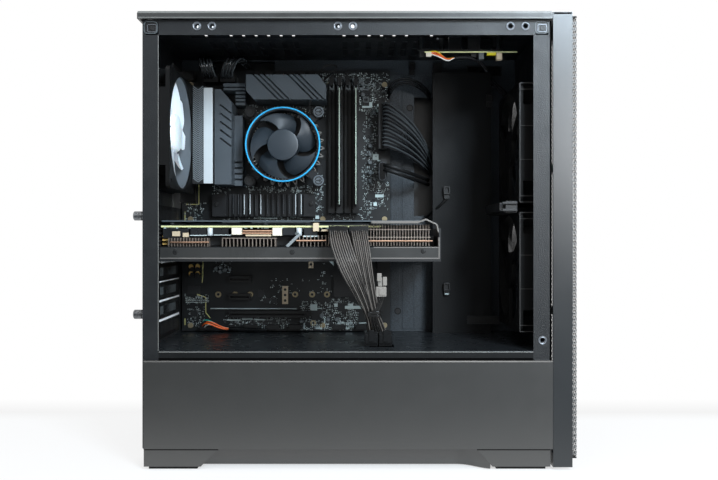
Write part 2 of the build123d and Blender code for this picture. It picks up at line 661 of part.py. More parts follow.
cooler_blade = swept_blade(cooler_hub - 1, cooler_fan_tip, 17.0, 24.0, 34, 22, 15.0, 38.0, 1.1)
with BuildPart(cooler_plane) as cpu_fan_rotor:
    with Locations((0, 0, 28.4)):
        Cylinder(cooler_hub, 20.6, align=bottom)
    with Locations((0, 0, arm_low - 0.2)):
        Cylinder(shaft, 4, align=bottom)
    with PolarLocations(0, 5):
        add(cooler_blade)
save(cpu_fan_rotor, "cpu_fan_rotor")

# ---------------------------------------------------------------- memory
slot_step = 9.4
memory_x = [cooler_x + 53.3 + index * slot_step for index in range(4)]
filled = (memory_x[1], memory_x[3])
module_length = 133.35
module_height = 31.25
module_seat = 5.0
module_z = (board_z + 146.0, board_z + 146.0 + module_length)
module_front = board_y - module_seat - module_height
slot_block_z = (module_z[0] - 3.5, module_z[1] + 3.2)
latch_z = module_z[1] + 7.5
latch_pin = 1.2

with BuildPart() as dimm_slots:
    for x in memory_x:
        block((x - 3.6, x + 3.6), (board_y - 10, board_y), slot_block_z)
        block((x - 3.6, x + 3.6), (board_y - 17, board_y), (slot_block_z[0] - 5, slot_block_z[0]))
        block((x - 0.9, x + 0.9), (board_y - 11, board_y - 4), (module_z[0] - gap, module_z[1] + gap),
              Mode.SUBTRACT)
        # forked tower that holds the latch
        for cheek in (x - 3.6, x + 2.5):
            block((cheek, cheek + 1.1), (board_y - 9, board_y), (slot_block_z[1], latch_z + 3.5))
        with Locations(Plane(origin=(x - 3.6, board_y - 5, latch_z), x_dir=(0, 1, 0), z_dir=(1, 0, 0))):
            Cylinder(latch_pin, 7.2, align=bottom)
save(dimm_slots, "dimm_slots")

with BuildPart() as memory_modules:
    for x in filled:
        block((x - 0.7, x + 0.7), (module_front, board_y - module_seat), module_z)
        for index in range(8):
            z = module_z[0] + 5.5 + index * 15.8
            block((x - 1.9, x + 1.9), (module_front + 3.5, module_front + 15.5), (z, z + 11.0))
save(memory_modules, "memory_modules")

with BuildPart() as dimm_latches:
    for x in memory_x:
        block((x - 2.1, x + 2.1), (board_y - 19, board_y - 2.2), (latch_z - 2.2, latch_z + 2.4))
        block((x - 2.1, x + 2.1), (board_y - 19, board_y - 14), (latch_z - 2.2, latch_z + 8.0))
        with Locations(Plane(origin=(x - 3.6, board_y - 5, latch_z), x_dir=(0, 1, 0), z_dir=(1, 0, 0))):
            Cylinder(latch_pin + shaft_fit, 7.2, align=bottom, mode=Mode.SUBTRACT)
save(dimm_latches, "dimm_latches")

# ---------------------------------------------------------------- expansion slots on the board
connector_x = (board_x + 56.5, board_x + 145.5)
short_x = (connector_x[0], connector_x[0] + 25.0)
connector_rows = (
    (card_z, connector_x), (card_z - 3 * slot_pitch, short_x),
    (card_z - 4 * slot_pitch, short_x), (card_z - 5 * slot_pitch, connector_x),
)
card_thick = 1.6

with BuildPart() as pcie_slots:
    for z, ends in connector_rows:
        block(ends, (board_y - 11, board_y), (z - 3.8, z + 3.8))
        block((ends[0] + 1.6, ends[1] - 1.6), (board_y - 12, board_y - 2.4), (z - 1.0, z + 1.0),
              Mode.SUBTRACT)
        if ends == connector_x:
            block((ends[1], ends[1] + 7), (board_y - 6, board_y), (z - 2.6, z + 2.6))
save(pcie_slots, "pcie_slots")

# ---------------------------------------------------------------- connectors on the board
power_socket_x = (board_end - 14.0, board_end - 5.0)
power_socket_z = (board_z + 211.0, board_z + 263.0)
eps_x = ((board_x + 29.5, board_x + 46.5), (board_x + 48.5, board_x + 65.5))
eps_z = (board_z + 287.5, board_z + 296.5)
usb_x = (board_end - 11.5, board_end - 4.5)
usb_z = (board_z + 179.0, board_z + 199.0)
header_height = 11.0
audio_caps = [(board_x + 13.5 + 6.0 * i, board_z + 66.0 + 6.4 * j) for i in (0, 1) for j in (0, 1)]

with BuildPart() as board_sockets:
    # processor socket: a frame with its bed
    block((cooler_x - 24, cooler_x + 24), (board_y - 4.5, board_y), (cooler_z - 22, cooler_z + 22))
    # main power, processor power and front USB sockets
    block(power_socket_x, (board_y - header_height, board_y), power_socket_z)
    for ends in eps_x:
        block(ends, (board_y - header_height, board_y), eps_z)
    block(usb_x, (board_y - header_height, board_y), usb_z)
    # drive ports along the front edge, and small headers along the lower edge
    for index in range(3):
        z = board_z + 72.0 + index * 17.5
        block((board_end - 15, board_end - 1), (board_y - 9, board_y), (z, z + 14))
    for x in (22.0, 48.0, 74.0, 100.0, 126.0, 177.0, 204.0):
        x = board_x + x
        block((x, x + 15), (board_y - 8.5, board_y), (board_z + 2.5, board_z + 7.5))
    # rear ports, flush through the shield
    for low, width, depth in rear_ports:
        block((rear_x - 0.4, board_x + 17), (board_y - depth, board_y), (io_z + low, io_z + low + width))
    with Locations(facing):
        with Locations(audio_caps):
            Cylinder(2.7, 9.5, align=bottom)
        with Locations([(vrm_x[0] + 10 + 12.5 * index, vrm_z[1] + 7, 0) for index in range(6)]):
            Cylinder(4.0, 11, align=bottom)
save(board_sockets, "board_sockets")

# ---------------------------------------------------------------- graphics card
card_y = (board_y - 112.0, board_y - 14.0)
shroud_y = (board_y - 127.0, board_y - 12.0)
card_x = (bracket_x[1], rear_x + 234.0)
shroud_x = (rear_x + 6.0, rear_x + 1.8 + card_length)
shroud_z = (card_z - 37.2, card_z - 22.2)
fan_z = shroud_z[0] + 3.2
fan_thick = 8.3
motor_z = fan_z + fan_thick + 0.5
card_fans_x = [rear_x + 54.0 + index * card_pitch for index in range(3)]
fan_y = (shroud_y[0] + shroud_y[1]) / 2
fin_z = (shroud_z[1] + 0.3, card_z - 5.2)
pipe_z = (fin_z[0] + 5.0, fin_z[1] - 4.0)
plug_x = (card_x[1] - 55.0, card_x[1] - 34.0)
plug_width = 19.5
plug_z = (card_z - 11.0, card_z - card_thick / 2)
card_faces = (card_z - card_thick / 2, card_z + card_thick / 2)
# behind the rear sheet, width and drop below the card
card_parts = ((38.0, 14.0, 9.0), (54.0, 12.0, 9.5), (76.4, 10.0, 5.4), (118.5, 9.6, 5.6), (146.0, 6.0, 6.0))

with BuildPart() as gpu_pcb:
    block(card_x, card_y, card_faces)
    block((connector_x[0] + 2, connector_x[1] - 2), (card_y[1] - 1, board_y - 3), card_faces)
    # parts under the board along its outer edge
    for x, width, drop in card_parts:
        x = rear_x + x
        block((x, x + width), (card_y[0] + 1, card_y[0] + 9), (card_faces[0] - drop, card_z))
    for x in plug_x:
        block((x, x + plug_width), (card_y[0] - 4, card_y[0] + 10), plug_z)
save(gpu_pcb, "gpu_pcb")

with BuildPart() as gpu_backplate:
    block((card_x[0] + 3, shroud_x[1] - 16), (card_y[0] - 1, card_y[1]), (card_z + 3.8, card_z + 5.2))
    for x in (card_x[0] + 12, card_x[0] + 110, card_x[1] - 10):
        for y in (card_y[0] + 8, card_y[1] - 8):
            with Locations((x, y, card_z + card_thick / 2)):
                Cylinder(2.5, 3.2, align=bottom)
save(gpu_backplate, "gpu_backplate")

with BuildPart() as gpu_bracket:
    bracket(slot_z(2) - bracket_width / 2, slot_z(1) + bracket_width / 2)
    for step in range(20):
        y = slot_y[0] + 14 + step * 4.4
        block((rear_x, rear_x + 3), (y, y + 2.6), (slot_z(2) - 6, slot_z(2) + 6), Mode.SUBTRACT)
    for index in range(3):
        y = slot_y[0] + 22 + index * 26
        block((rear_x - 1.0, rear_x + 14), (y, y + 18), (card_z - 7.6, card_z - 1.6))
save(gpu_bracket, "gpu_bracket")

with BuildPart() as gpu_fin_stack:
    pitch = 3.05
    for start, count, high in ((10.0, 21, fin_z[1] - 6), (77.0, 17, fin_z[1] - 6), (170.0, 34, fin_z[1])):
        for index in range(count):
            x = rear_x + start + index * pitch
            under_plug = plug_x[0] - 2 < x < plug_x[1] + plug_width + 1
            fin_high = plug_z[0] - 0.5 if under_plug else high
            block((x, x + 0.8), (shroud_y[0] + 5, shroud_y[1] - 4), (fin_z[0], fin_high))
    for y in (-38.0, -12.0, 14.0, 38.0):
        with Locations(Plane(origin=(rear_x + 9.5, fan_y + y, pipe_z[0]), x_dir=(0, 1, 0), z_dir=(1, 0, 0))):
            Cylinder(3.0, 266.0, align=bottom)
    block((rear_x + 95, rear_x + 150), (fan_y - 14, fan_y + 34), (fin_z[0] + 2, card_z - card_thick / 2))
save(gpu_fin_stack, "gpu_fin_stack")

with BuildPart() as gpu_shroud:
    wall = 2.0
    block(shroud_x, (shroud_y[0], shroud_y[0] + wall), shroud_z)
    block(shroud_x, (shroud_y[1] - wall, shroud_y[1]), shroud_z)
    block(shroud_x, shroud_y, (shroud_z[0], shroud_z[0] + wall))
    block((shroud_x[1] - wall, shroud_x[1]), shroud_y, (shroud_z[0], card_z - 3))
    block((shroud_x[0], shroud_x[0] + wall), shroud_y, shroud_z)
    with Locations([(x, fan_y, shroud_z[0] + wall / 2) for x in card_fans_x]):
        Cylinder(card_fan_tip + 1.4, 2 * wall, mode=Mode.SUBTRACT)
    for x in card_fans_x:
        block((x - 3, x + 3), shroud_y, (motor_z, motor_z + 2.2))
        with Locations((x, fan_y, motor_z)):
            Cylinder(card_hub - 1, 2.2, align=bottom)
            Cylinder(shaft + shaft_fit, 20, mode=Mode.SUBTRACT)
save(gpu_shroud, "gpu_shroud")

card_blade = swept_blade(card_hub - 1, card_fan_tip, 10.0, 17.0, 30, 20, 9.0, 0.0, 0.9)
for number, x in enumerate(card_fans_x, start=1):
    with BuildPart(Plane(origin=(x, fan_y, fan_z))) as card_rotor:
        Cylinder(card_hub, fan_thick, align=bottom)
        Cylinder(shaft, motor_z - fan_z + 2.0, align=bottom)
        with Locations((0, 0, fan_thick / 2)):
            with PolarLocations(0, 9):
                add(card_blade)
    save(card_rotor, f"gpu_fan_rotor_{number}")

# ---------------------------------------------------------------- 120 mm case fans
# each plane looks from the motor side of the fan towards its intake
fan_places = [(rear_x + sheet, rear_fan_y, rear_fan_z)]
fan_places += [(front_x - sheet - fan_depth, front_fan_y, z) for z in front_fan_z]
fan_planes = [Plane(origin=place, x_dir=(0, 1, 0), z_dir=(1, 0, 0)) for place in fan_places]
corner = 22.0
duct_wall = 1.8

with BuildPart(*fan_planes) as case_fan_frames:
    Box(fan_size, fan_size, fan_depth, align=bottom)
    fillet(case_fan_frames.edges().filter_by(Axis.X), 6)
    # flanges only at both faces: the corners between them are open round the duct
    with Locations((0, 0, 4.0)):
        with GridLocations(fan_size, fan_size, 2, 2):
            Box(2 * corner, 2 * corner, fan_depth - 8.0, align=bottom, mode=Mode.SUBTRACT)
        Cylinder(fan_bore + duct_wall, fan_depth - 8.0, align=bottom)
    Cylinder(fan_bore, 3 * fan_depth, mode=Mode.SUBTRACT)
    with GridLocations(fan_screws, fan_screws, 2, 2):
        Cylinder(screw_hole, 3 * fan_depth, mode=Mode.SUBTRACT)
    # motor mount on three struts
    Cylinder(fan_hub - 1, 4.5, align=bottom)
    with PolarLocations((fan_hub + fan_bore) / 2, 3, start_angle=30):
        Box(fan_bore - fan_hub + 4, 5.0, 3.5, align=bottom)
    Cylinder(shaft + shaft_fit, 20, mode=Mode.SUBTRACT)
save(case_fan_frames, "case_fan_frames")

case_blade = swept_blade(fan_hub - 1, blade_tip, 19.0, 32.0, 38, 26, 14.0, 0.0, 1.3)
rotor_names = ("rear_fan_rotor", "front_fan_rotor_upper", "front_fan_rotor_lower")
for plane, label in zip(fan_planes, rotor_names):
    with BuildPart(plane) as case_rotor:
        with Locations((0, 0, 5.0)):
            Cylinder(fan_hub, fan_depth - 7.0, align=bottom)
        with Locations((0, 0, 1.0)):
            Cylinder(shaft, 6, align=bottom)
        with Locations((0, 0, 5.0 + (fan_depth - 7.0) / 2)):
            with PolarLocations(0, 7):
                add(case_blade)
    save(case_rotor, label)

# ---------------------------------------------------------------- power supply
supply_wall = 1.0
supply_middle = ((supply_x[0] + supply_x[1]) / 2 + 6, (supply_y[0] + supply_y[1]) / 2)
switch_at = (supply_y[0] + 22, supply_z[1] - 24)
inlet_at = (supply_y[0] + 52, supply_z[1] - 24)
switch_size = (13.0, 19.0)
switch_gap = 1.8
switch_depth = 9.0

with BuildPart() as psu_case:
    block(supply_x, supply_y, supply_z)
    inside = [(ends[0] + supply_wall, ends[1] - supply_wall) for ends in (supply_x, supply_y, supply_z)]
    block(*inside, Mode.SUBTRACT)
    with Locations((*supply_middle, supply_z[0])):
        Cylinder(supply_fan_tip + 3, 6, mode=Mode.SUBTRACT)
        with PolarLocations(supply_fan_tip / 2 + 8, 4):
            Box(supply_fan_tip - 6, 3.0, 2.0, align=bottom)
        Cylinder(fan_hub, 2.5, align=bottom)
        Cylinder(shaft + shaft_fit, 20, mode=Mode.SUBTRACT)
    # mains inlet and the well round the switch
    block((supply_x[0], supply_x[0] + 18), (inlet_at[0] - 14, inlet_at[0] + 14),
          (inlet_at[1] - 11, inlet_at[1] + 11))
    block((supply_x[0] - 1, supply_x[0] + 15), (inlet_at[0] - 12, inlet_at[0] + 12),
          (inlet_at[1] - 8, inlet_at[1] + 8), Mode.SUBTRACT)
    for y in (-7.0, 0.0, 7.0):
        foot = (supply_x[0] + 15, inlet_at[0] + y, inlet_at[1])
        with Locations(Plane(origin=foot, x_dir=(0, 1, 0), z_dir=(-1, 0, 0))):
            Box(2.0, 4.0, 11.0, align=bottom)
    half = (switch_size[0] / 2 + switch_gap, switch_size[1] / 2 + switch_gap)
    block((supply_x[0], supply_x[0] + 14), (switch_at[0] - half[0] - 1.2, switch_at[0] + half[0] + 1.2),
          (switch_at[1] - half[1] - 1.2, switch_at[1] + half[1] + 1.2))
    block((supply_x[0] - 1, supply_x[0] + 12.5), (switch_at[0] - half[0], switch_at[0] + half[0]),
          (switch_at[1] - half[1], switch_at[1] + half[1]), Mode.SUBTRACT)
    pivot = (supply_x[0] + 4, switch_at[0] - half[0] - 1, switch_at[1])
    with Locations(Plane(origin=pivot, x_dir=(1, 0, 0), z_dir=(0, 1, 0))):
        Cylinder(shaft, 2 * half[0] + 2, align=bottom)
    # exhaust grille on the rear face, clear of inlet and switch
    grille = (supply_x[0], supply_y[0] + 96, (supply_z[0] + supply_z[1]) / 2)
    with Locations(Plane(origin=grille, x_dir=(0, 1, 0), z_dir=(1, 0, 0))):
        with GridLocations(8.0, 8.0, 9, 8):
            Box(6.0, 6.0, 3.0, mode=Mode.SUBTRACT)
save(psu_case, "psu_case")

switch_middle = (supply_x[0] + 4, switch_at[0], switch_at[1])
with BuildPart(Plane(origin=switch_middle, x_dir=(0, 1, 0), z_dir=(-1, 0, 0))) as psu_switch:
    Box(switch_size[0], switch_size[1], switch_depth)
    with Locations(Location((0, 0, 0), (0, 90, 0))):
        Cylinder(shaft + shaft_fit, 40, mode=Mode.SUBTRACT)
save(psu_switch, "psu_switch")

supply_blade = swept_blade(fan_hub - 1, supply_fan_tip, 19.0, 30.0, 34, 24, 12.0, 0.0, 1.3)
with BuildPart(Plane(origin=(*supply_middle, supply_z[0]))) as psu_fan_rotor:
    with Locations((0, 0, 3.2)):
        Cylinder(fan_hub, 18, align=bottom)
    with Locations((0, 0, 0.5)):
        Cylinder(shaft, 5, align=bottom)
    with Locations((0, 0, 13.5)):
        with PolarLocations(0, 7):
            add(supply_blade)
save(psu_fan_rotor, "psu_fan_rotor")

# ---------------------------------------------------------------- front panel
bezel_x = (front_x + bezel_gap, front_x + bezel_gap + bezel_depth)
bezel_y = (left_y - cover_depth, right_y + cover_depth)
bezel_z = (pad_height, top_z - 1.0)
bezel_wall = 3.0

with BuildPart() as front_bezel:
    block(bezel_x, bezel_y, bezel_z)
    block((bezel_x[0] - 1, bezel_x[1] + 1), (bezel_y[0] + bezel_wall, bezel_y[1] - bezel_wall),
          (bezel_z[0] + bezel_wall, bezel_z[1] - bezel_wall), Mode.SUBTRACT)
    block((bezel_x[1] - 4, bezel_x[1]), bezel_y, (bezel_z[0], bezel_z[0] + 12))
    block((bezel_x[1] - 4, bezel_x[1]), bezel_y, (bezel_z[1] - 12, bezel_z[1]))
    for z in (bezel_z[0] + 146, bezel_z[0] + 293):
        block((bezel_x[1] - 6, bezel_x[1] - 1.5), bezel_y, (z - 4, z + 4))
save(front_bezel, "front_bezel")

mesh_x = (bezel_x[1], bezel_x[1] + mesh_depth)
mesh_z = (bezel_z[0] + 8.6, bezel_z[1] - 4.0)
mesh_wall = 1.2
mesh_bend = 5.0

with BuildPart() as front_mesh:
    with BuildSketch(Plane.XZ.offset(-(bezel_y[1] - 1))):
        with BuildLine():
            Polyline(
                (mesh_x[0], mesh_z[0]), (mesh_x[1], mesh_z[0] + mesh_bend),
                (mesh_x[1], mesh_z[1] - mesh_bend), (mesh_x[0], mesh_z[1]), close=True,
            )
        make_face()
    extrude(amount=bezel_y[1] - bezel_y[0] - 2)
    with BuildSketch(Plane.XZ.offset(-(bezel_y[1] - 1 - mesh_wall))):
        with BuildLine():
            Polyline(
                (mesh_x[0] - 1, mesh_z[0] + mesh_wall),
                (mesh_x[1] - mesh_wall, mesh_z[0] + mesh_bend + mesh_wall),
                (mesh_x[1] - mesh_wall, mesh_z[1] - mesh_bend - mesh_wall),
                (mesh_x[0] - 1, mesh_z[1] - mesh_wall),
                close=True,
            )
        make_face()
    extrude(amount=bezel_y[1] - bezel_y[0] - 2 - 2 * mesh_wall, mode=Mode.SUBTRACT)
    face_middle = (mesh_x[1], 0, (mesh_z[0] + mesh_z[1]) / 2)
    with Locations(Plane(origin=face_middle, x_dir=(0, 1, 0), z_dir=(1, 0, 0))):
        with GridLocations(20.0, 22.0, 9, 18):
            Box(16.0, 18.0, 6.0, mode=Mode.SUBTRACT)
save(front_mesh, "front_mesh")

# ---------------------------------------------------------------- right side panel
right_x = (rear_x - 1.3, front_x - gap)
right_plane_y = (right_y + gap, right_y + cover_depth)
right_z = (floor_z + gap, roof_z - gap - 0.3)

with BuildPart() as right_side_panel:
    block((rear_x + gap, right_x[1]), right_plane_y, right_z)
    block((rear_x + gap + 1.2, right_x[1] - 1.2), (right_plane_y[0] - 1, right_plane_y[1] - 1.2),
          (right_z[0] + 1.2, right_z[1] - 1.2), Mode.SUBTRACT)
    # folded rear edge that the thumbscrews hold
    block((right_x[0], rear_x + gap + 1.2), (right_plane_y[1] - 1.2, right_plane_y[1]), right_z)
    block((right_x[0], right_x[0] + 1.0), (panel_screw_y - 7, right_plane_y[1]), right_z)
    with Locations(Plane(origin=(right_x[0], 0, 0), x_dir=(0, 1, 0), z_dir=(1, 0, 0))):
        with Locations([(panel_screw_y, z) for z in panel_screw_z]):
            Hole(screw_hole - 0.4, depth=4)
save(right_side_panel, "right_side_panel")

with BuildPart(Plane(origin=(right_x[0], 0, 0), x_dir=(0, -1, 0), z_dir=(-1, 0, 0))) as panel_thumbscrews:
    with Locations([(-panel_screw_y, z, -4.0) for z in panel_screw_z]):
        Cylinder(screw_hole - 0.5, 5, align=bottom)
    with Locations([(-panel_screw_y, z, 0) for z in panel_screw_z]):
        Cylinder(5.0, 6.0, align=bottom)
    chamfer(panel_thumbscrews.edges().filter_by(GeomType.CIRCLE).group_by(Axis.X)[0], 0.8)
save(panel_thumbscrews, "panel_thumbscrews")

# ---------------------------------------------------------------- front ports and power button
ports_z = roof_z - 16.7
button_travel = 1.5
tact_top = ports_z + 5.0
half_port = (port_size[0] / 2, port_size[1] / 2)

with BuildPart() as front_io_board:
    block(front_ports_x, (board_port_y - 12, board_port_y + 12), (ports_z, ports_z + 1.6))
    for x in ports_x:
        block((x - half_port[0], x + half_port[0]),
              (board_port_y - half_port[1], board_port_y + half_port[1]),
              (ports_z, top_z - 1.0))
        block((x - half_port[0] + 0.6, x + half_port[0] - 0.6), (board_port_y - 2.4, board_port_y + 0.4),
              (top_z - 13, top_z), Mode.SUBTRACT)
    with Locations((jack_x, board_port_y, ports_z)):
        Cylinder(3.2, top_z - 1.0 - ports_z, align=bottom)
        Cylinder(1.8, 80, mode=Mode.SUBTRACT)
    block((button_x - 3, button_x + 3), (board_port_y - 3, board_port_y + 3), (ports_z, tact_top))
    # sockets under the board for the leads to the mainboard
    for x, width, drop in ((56.0, 8.0, 6.0), (72.0, 7.0, 4.5), (82.0, 6.0, 9.0), (2.0, 11.0, 6.0)):
        x = front_ports_x[0] + x
        block((x, x + width), (board_port_y - 11, board_port_y - 4), (ports_z - drop, ports_z))
    # posts up to the roof sheet
    for x in (front_ports_x[0] + 4, front_ports_x[1] - 4):
        for y in (board_port_y - 9.6, board_port_y + 9.6):
            with Locations((x, y, ports_z)):
                Cylinder(2.2, roof_z - sheet - ports_z, align=bottom)
save(front_io_board, "front_io_board")

with BuildPart(Plane(origin=(button_x, board_port_y, top_z))) as power_button:
    with Locations((0, 0, -4.0)):
        Cylinder(button_radius, 3.8, align=bottom)
    with Locations((0, 0, tact_top + button_travel + gap - top_z)):
        Cylinder(2.5, top_z - tact_top - button_travel - gap - 2, align=bottom)
    fillet(power_button.edges().filter_by(GeomType.CIRCLE).group_by(Axis.Z)[-1], 0.5)
save(power_button, "power_button")

# ---------------------------------------------------------------- cables
def cable(points, radius, label):
    """Sweep a round bundle along straight runs joined by the widest arcs they allow."""
    radii = []
    for before, here, after in zip(points, points[1:], points[2:]):
        first = Vector(*here) - Vector(*before)
        second = Vector(*after) - Vector(*here)
        turn = math.radians(first.get_angle(second))
        radii.append(0.45 * min(first.length, second.length) / math.tan(turn / 2))
    print(label, "bend radii", [round(r, 1) for r in radii])
    with BuildPart() as tube:
        with BuildLine() as route:
            FilletPolyline(*points, radius=radii)
        wire = route.wires()[0]
        with BuildSketch(Plane(origin=wire @ 0, z_dir=wire % 0)):
            Circle(radius)
        sweep()
    print(label, "length", round(wire.length, 1), "volume ratio",
          round(tube.part.volume / (math.pi * radius ** 2 * wire.length), 4))
    return tube.part


plug_reach = 13.0
card_plug_y = (card_y[0] - 4.0 - plug_reach, card_y[0] - 4.0)
board_plug_y = (board_y - header_height - plug_reach - 1.0, board_y - header_height)

with BuildPart() as cable_plugs:
    for x in plug_x:
        block((x, x + plug_width), card_plug_y, plug_z)
    block(power_socket_x, board_plug_y, power_socket_z)
    for ends in eps_x:
        block(ends, board_plug_y, eps_z)
    block(usb_x, board_plug_y, usb_z)
save(cable_plugs, "cable_plugs")

# from each plug on the card, over the card's edge and down through the deck
card_routes = (
    ((-16.25, -57.0, 231.3), (-16.25, -66.0, 231.3), (-15.9, -75.0, 227.0), (-14.8, -82.0, 218.5),
     (-11.0, -85.0, 205.0), (-3.5, -82.8, 187.0), (5.0, -76.5, 169.5), (12.8, -68.2, 152.5),
     (17.2, -61.3, 136.0), (19.2, -58.2, 120.0), (19.8, -57.2, 107.0)),
    ((4.75, -57.0, 231.3), (4.75, -66.0, 231.3), (5.6, -75.0, 227.0), (7.6, -82.2, 218.5),
     (11.2, -85.3, 205.0), (15.8, -83.2, 187.0), (20.3, -77.0, 169.5), (24.4, -68.6, 152.5),
     (27.6, -61.6, 136.0), (29.4, -58.4, 120.0), (30.0, -57.2, 107.0)),
)
# from the main power plug, round and back through the way beside the cable cover
power_route = (
    (32.0, 47.0, 352.5), (32.0, 40.5, 352.5), (36.5, 34.5, 349.3), (44.5, 31.5, 343.5), (54.0, 33.5, 334.5),
    (63.5, 40.0, 325.5), (71.5, 50.5, 317.5), (77.2, 63.0, 311.5), (80.6, 76.0, 308.0), (81.8, 88.0, 306.5),
)
eps_routes = (
    ((-164.5, 47.0, 407.5), (-164.5, 40.5, 407.5), (-166.0, 34.5, 412.8), (-167.6, 31.5, 419.6),
     (-169.2, 34.0, 426.0), (-170.2, 41.5, 429.6), (-170.6, 53.0, 430.0), (-170.4, 67.0, 428.6),
     (-169.8, 80.0, 427.4), (-169.4, 90.0, 427.0)),
    ((-145.5, 47.0, 407.5), (-145.5, 40.5, 407.5), (-143.8, 34.5, 412.8), (-141.0, 31.5, 419.6),
     (-137.4, 34.0, 426.0), (-133.8, 41.5, 429.6), (-130.8, 53.0, 430.0), (-128.8, 67.0, 428.6),
     (-127.8, 80.0, 427.4), (-127.4, 90.0, 427.0)),
)
usb_route = (
    (33.5, 47.0, 304.5), (33.5, 41.5, 304.5), (37.6, 36.6, 303.4), (44.6, 34.6, 301.3), (53.8, 36.4, 298.3),
    (63.0, 42.4, 295.4), (71.2, 51.6, 293.3), (77.2, 63.0, 292.2), (80.6, 76.0, 291.7), (81.6, 88.0, 291.5),
)

with BuildPart() as gpu_power_cables:
    for number, route in enumerate(card_routes, start=1):
        add(cable(route, lead / 2, f"gpu power {number}"))
save(gpu_power_cables, "gpu_power_cables")

with BuildPart() as atx_power_cable:
    add(cable(power_route, lead / 2, "main power"))
save(atx_power_cable, "atx_power_cable")

with BuildPart() as cpu_power_cables:
    for number, route in enumerate(eps_routes, start=1):
        add(cable(route, lead / 2, f"processor power {number}"))
save(cpu_power_cables, "cpu_power_cables")

with BuildPart() as usb3_cable:
    add(cable(usb_route, usb_cord / 2, "front usb"))
save(usb3_cable, "usb3_cable")
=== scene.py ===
"""Looks of a desktop computer tower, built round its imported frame.

Shapes are worked out in millimetres in the frame's own axes: +X towards the front of the case,
+Z up, the open side facing -Y.
"""
import math

import bmesh
import bpy
import numpy as np
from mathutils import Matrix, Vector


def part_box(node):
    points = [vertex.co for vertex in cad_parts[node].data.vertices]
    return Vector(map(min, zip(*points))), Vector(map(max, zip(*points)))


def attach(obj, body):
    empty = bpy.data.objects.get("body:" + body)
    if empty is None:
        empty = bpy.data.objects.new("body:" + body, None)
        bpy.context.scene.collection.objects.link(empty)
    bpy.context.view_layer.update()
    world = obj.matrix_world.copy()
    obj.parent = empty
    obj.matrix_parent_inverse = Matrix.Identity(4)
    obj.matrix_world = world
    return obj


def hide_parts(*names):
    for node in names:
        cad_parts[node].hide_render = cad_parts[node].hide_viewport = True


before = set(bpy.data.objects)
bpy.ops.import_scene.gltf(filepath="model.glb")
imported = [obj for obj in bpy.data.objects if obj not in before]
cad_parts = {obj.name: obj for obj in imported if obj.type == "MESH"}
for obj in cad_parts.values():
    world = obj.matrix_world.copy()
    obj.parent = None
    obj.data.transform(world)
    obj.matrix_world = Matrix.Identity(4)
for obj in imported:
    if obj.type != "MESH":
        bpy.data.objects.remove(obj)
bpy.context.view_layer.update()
MM = 0.001
rng = np.random.default_rng(7)

# ---------------------------------------------------------------- camera
camera_data = bpy.data.cameras.new("camera")
camera_data.sensor_width = 36.0
camera_data.lens = 42.4
camera = bpy.data.objects.new("camera", camera_data)
camera.location = (0.005, -0.92, 0.222)
camera.rotation_euler = (math.radians(90), 0, 0)
bpy.context.scene.collection.objects.link(camera)
bpy.context.scene.camera = camera


# ---------------------------------------------------------------- shapes as whole arrays
CORNERS = np.array(np.meshgrid([0, 1], [0, 1], [0, 1], indexing="ij")).reshape(3, -1).T
BOX_FACES = np.array([[0, 1, 3, 2], [4, 6, 7, 5], [0, 4, 5, 1], [2, 3, 7, 6], [0, 2, 6, 4], [1, 5, 7, 3]])
# across, up and out for each way that a turned shape can face
FACING = {
    "x": np.array([[0, 1, 0], [0, 0, 1], [1, 0, 0]], float),
    "board": np.array([[1, 0, 0], [0, 0, 1], [0, -1, 0]], float),
    "z": np.array([[1, 0, 0], [0, 1, 0], [0, 0, 1]], float),
}


def copies(points, faces):
    """One shape from the same faces over several sets of points (count, points, 3)."""
    shift = np.arange(len(points))[:, None, None] * points.shape[1]
    return points.reshape(-1, 3), [(shift + f).reshape(-1, f.shape[-1]) for f in faces]


def blocks(rows):
    """Boxes, one per row of (x low, x high, y low, y high, z low, z high): each corner takes a low or a high."""
    ends = np.asarray(rows, float).reshape(-1, 3, 2)
    return copies(np.where(CORNERS[None], ends[:, None, :, 1], ends[:, None, :, 0]), [BOX_FACES])


def slabs(*ends):
    """Boxes as blocks makes them, from six ends that are each a number or an array."""
    return blocks(np.stack([np.ravel(end) for end in np.broadcast_arrays(*ends)], -1))


def bars(starts, ends, side, depth, out=(0, -1, 0)):
    """Straight bars of a rectangular section, one per pair of ends; out is the way their depth is measured."""
    starts, ends = np.atleast_2d(np.asarray(starts, float)), np.atleast_2d(np.asarray(ends, float))
    along = ends - starts
    along /= np.linalg.norm(along, axis=1, keepdims=True)
    up = np.asarray(out, float)[None] - (along @ np.asarray(out, float))[:, None] * along
    up /= np.linalg.norm(up, axis=1, keepdims=True)
    over = np.cross(along, up)
    base = np.where(CORNERS[None, :, :1], ends[:, None], starts[:, None])
    corners = (base + (CORNERS[None, :, 1:2] - 0.5) * side * over[:, None]
               + (CORNERS[None, :, 2:3] - 0.5) * depth * up[:, None])
    return copies(corners, [BOX_FACES])


def grid(points, around=False, along=False):
    """Quads over points (rows, columns, 3); around joins the last column to the first, along the last row."""
    rows, cols = points.shape[:2]
    i = np.arange(rows if along else rows - 1)[:, None]
    j = np.arange(cols if around else cols - 1)[None, :]
    after_i, after_j = (i + 1) % rows, (j + 1) % cols
    faces = np.stack([i * cols + j, i * cols + after_j, after_i * cols + after_j, after_i * cols + j], -1)
    return points.reshape(-1, 3), [faces.reshape(-1, 4)]


def capped(points):
    """Quads over closed rows of points, with one face over the first row and one over the last."""
    shape_points, faces = grid(points, around=True)
    first = np.arange(points.shape[1])
    return shape_points, faces + [first[None, ::-1], first[None] + len(shape_points) - len(first)]


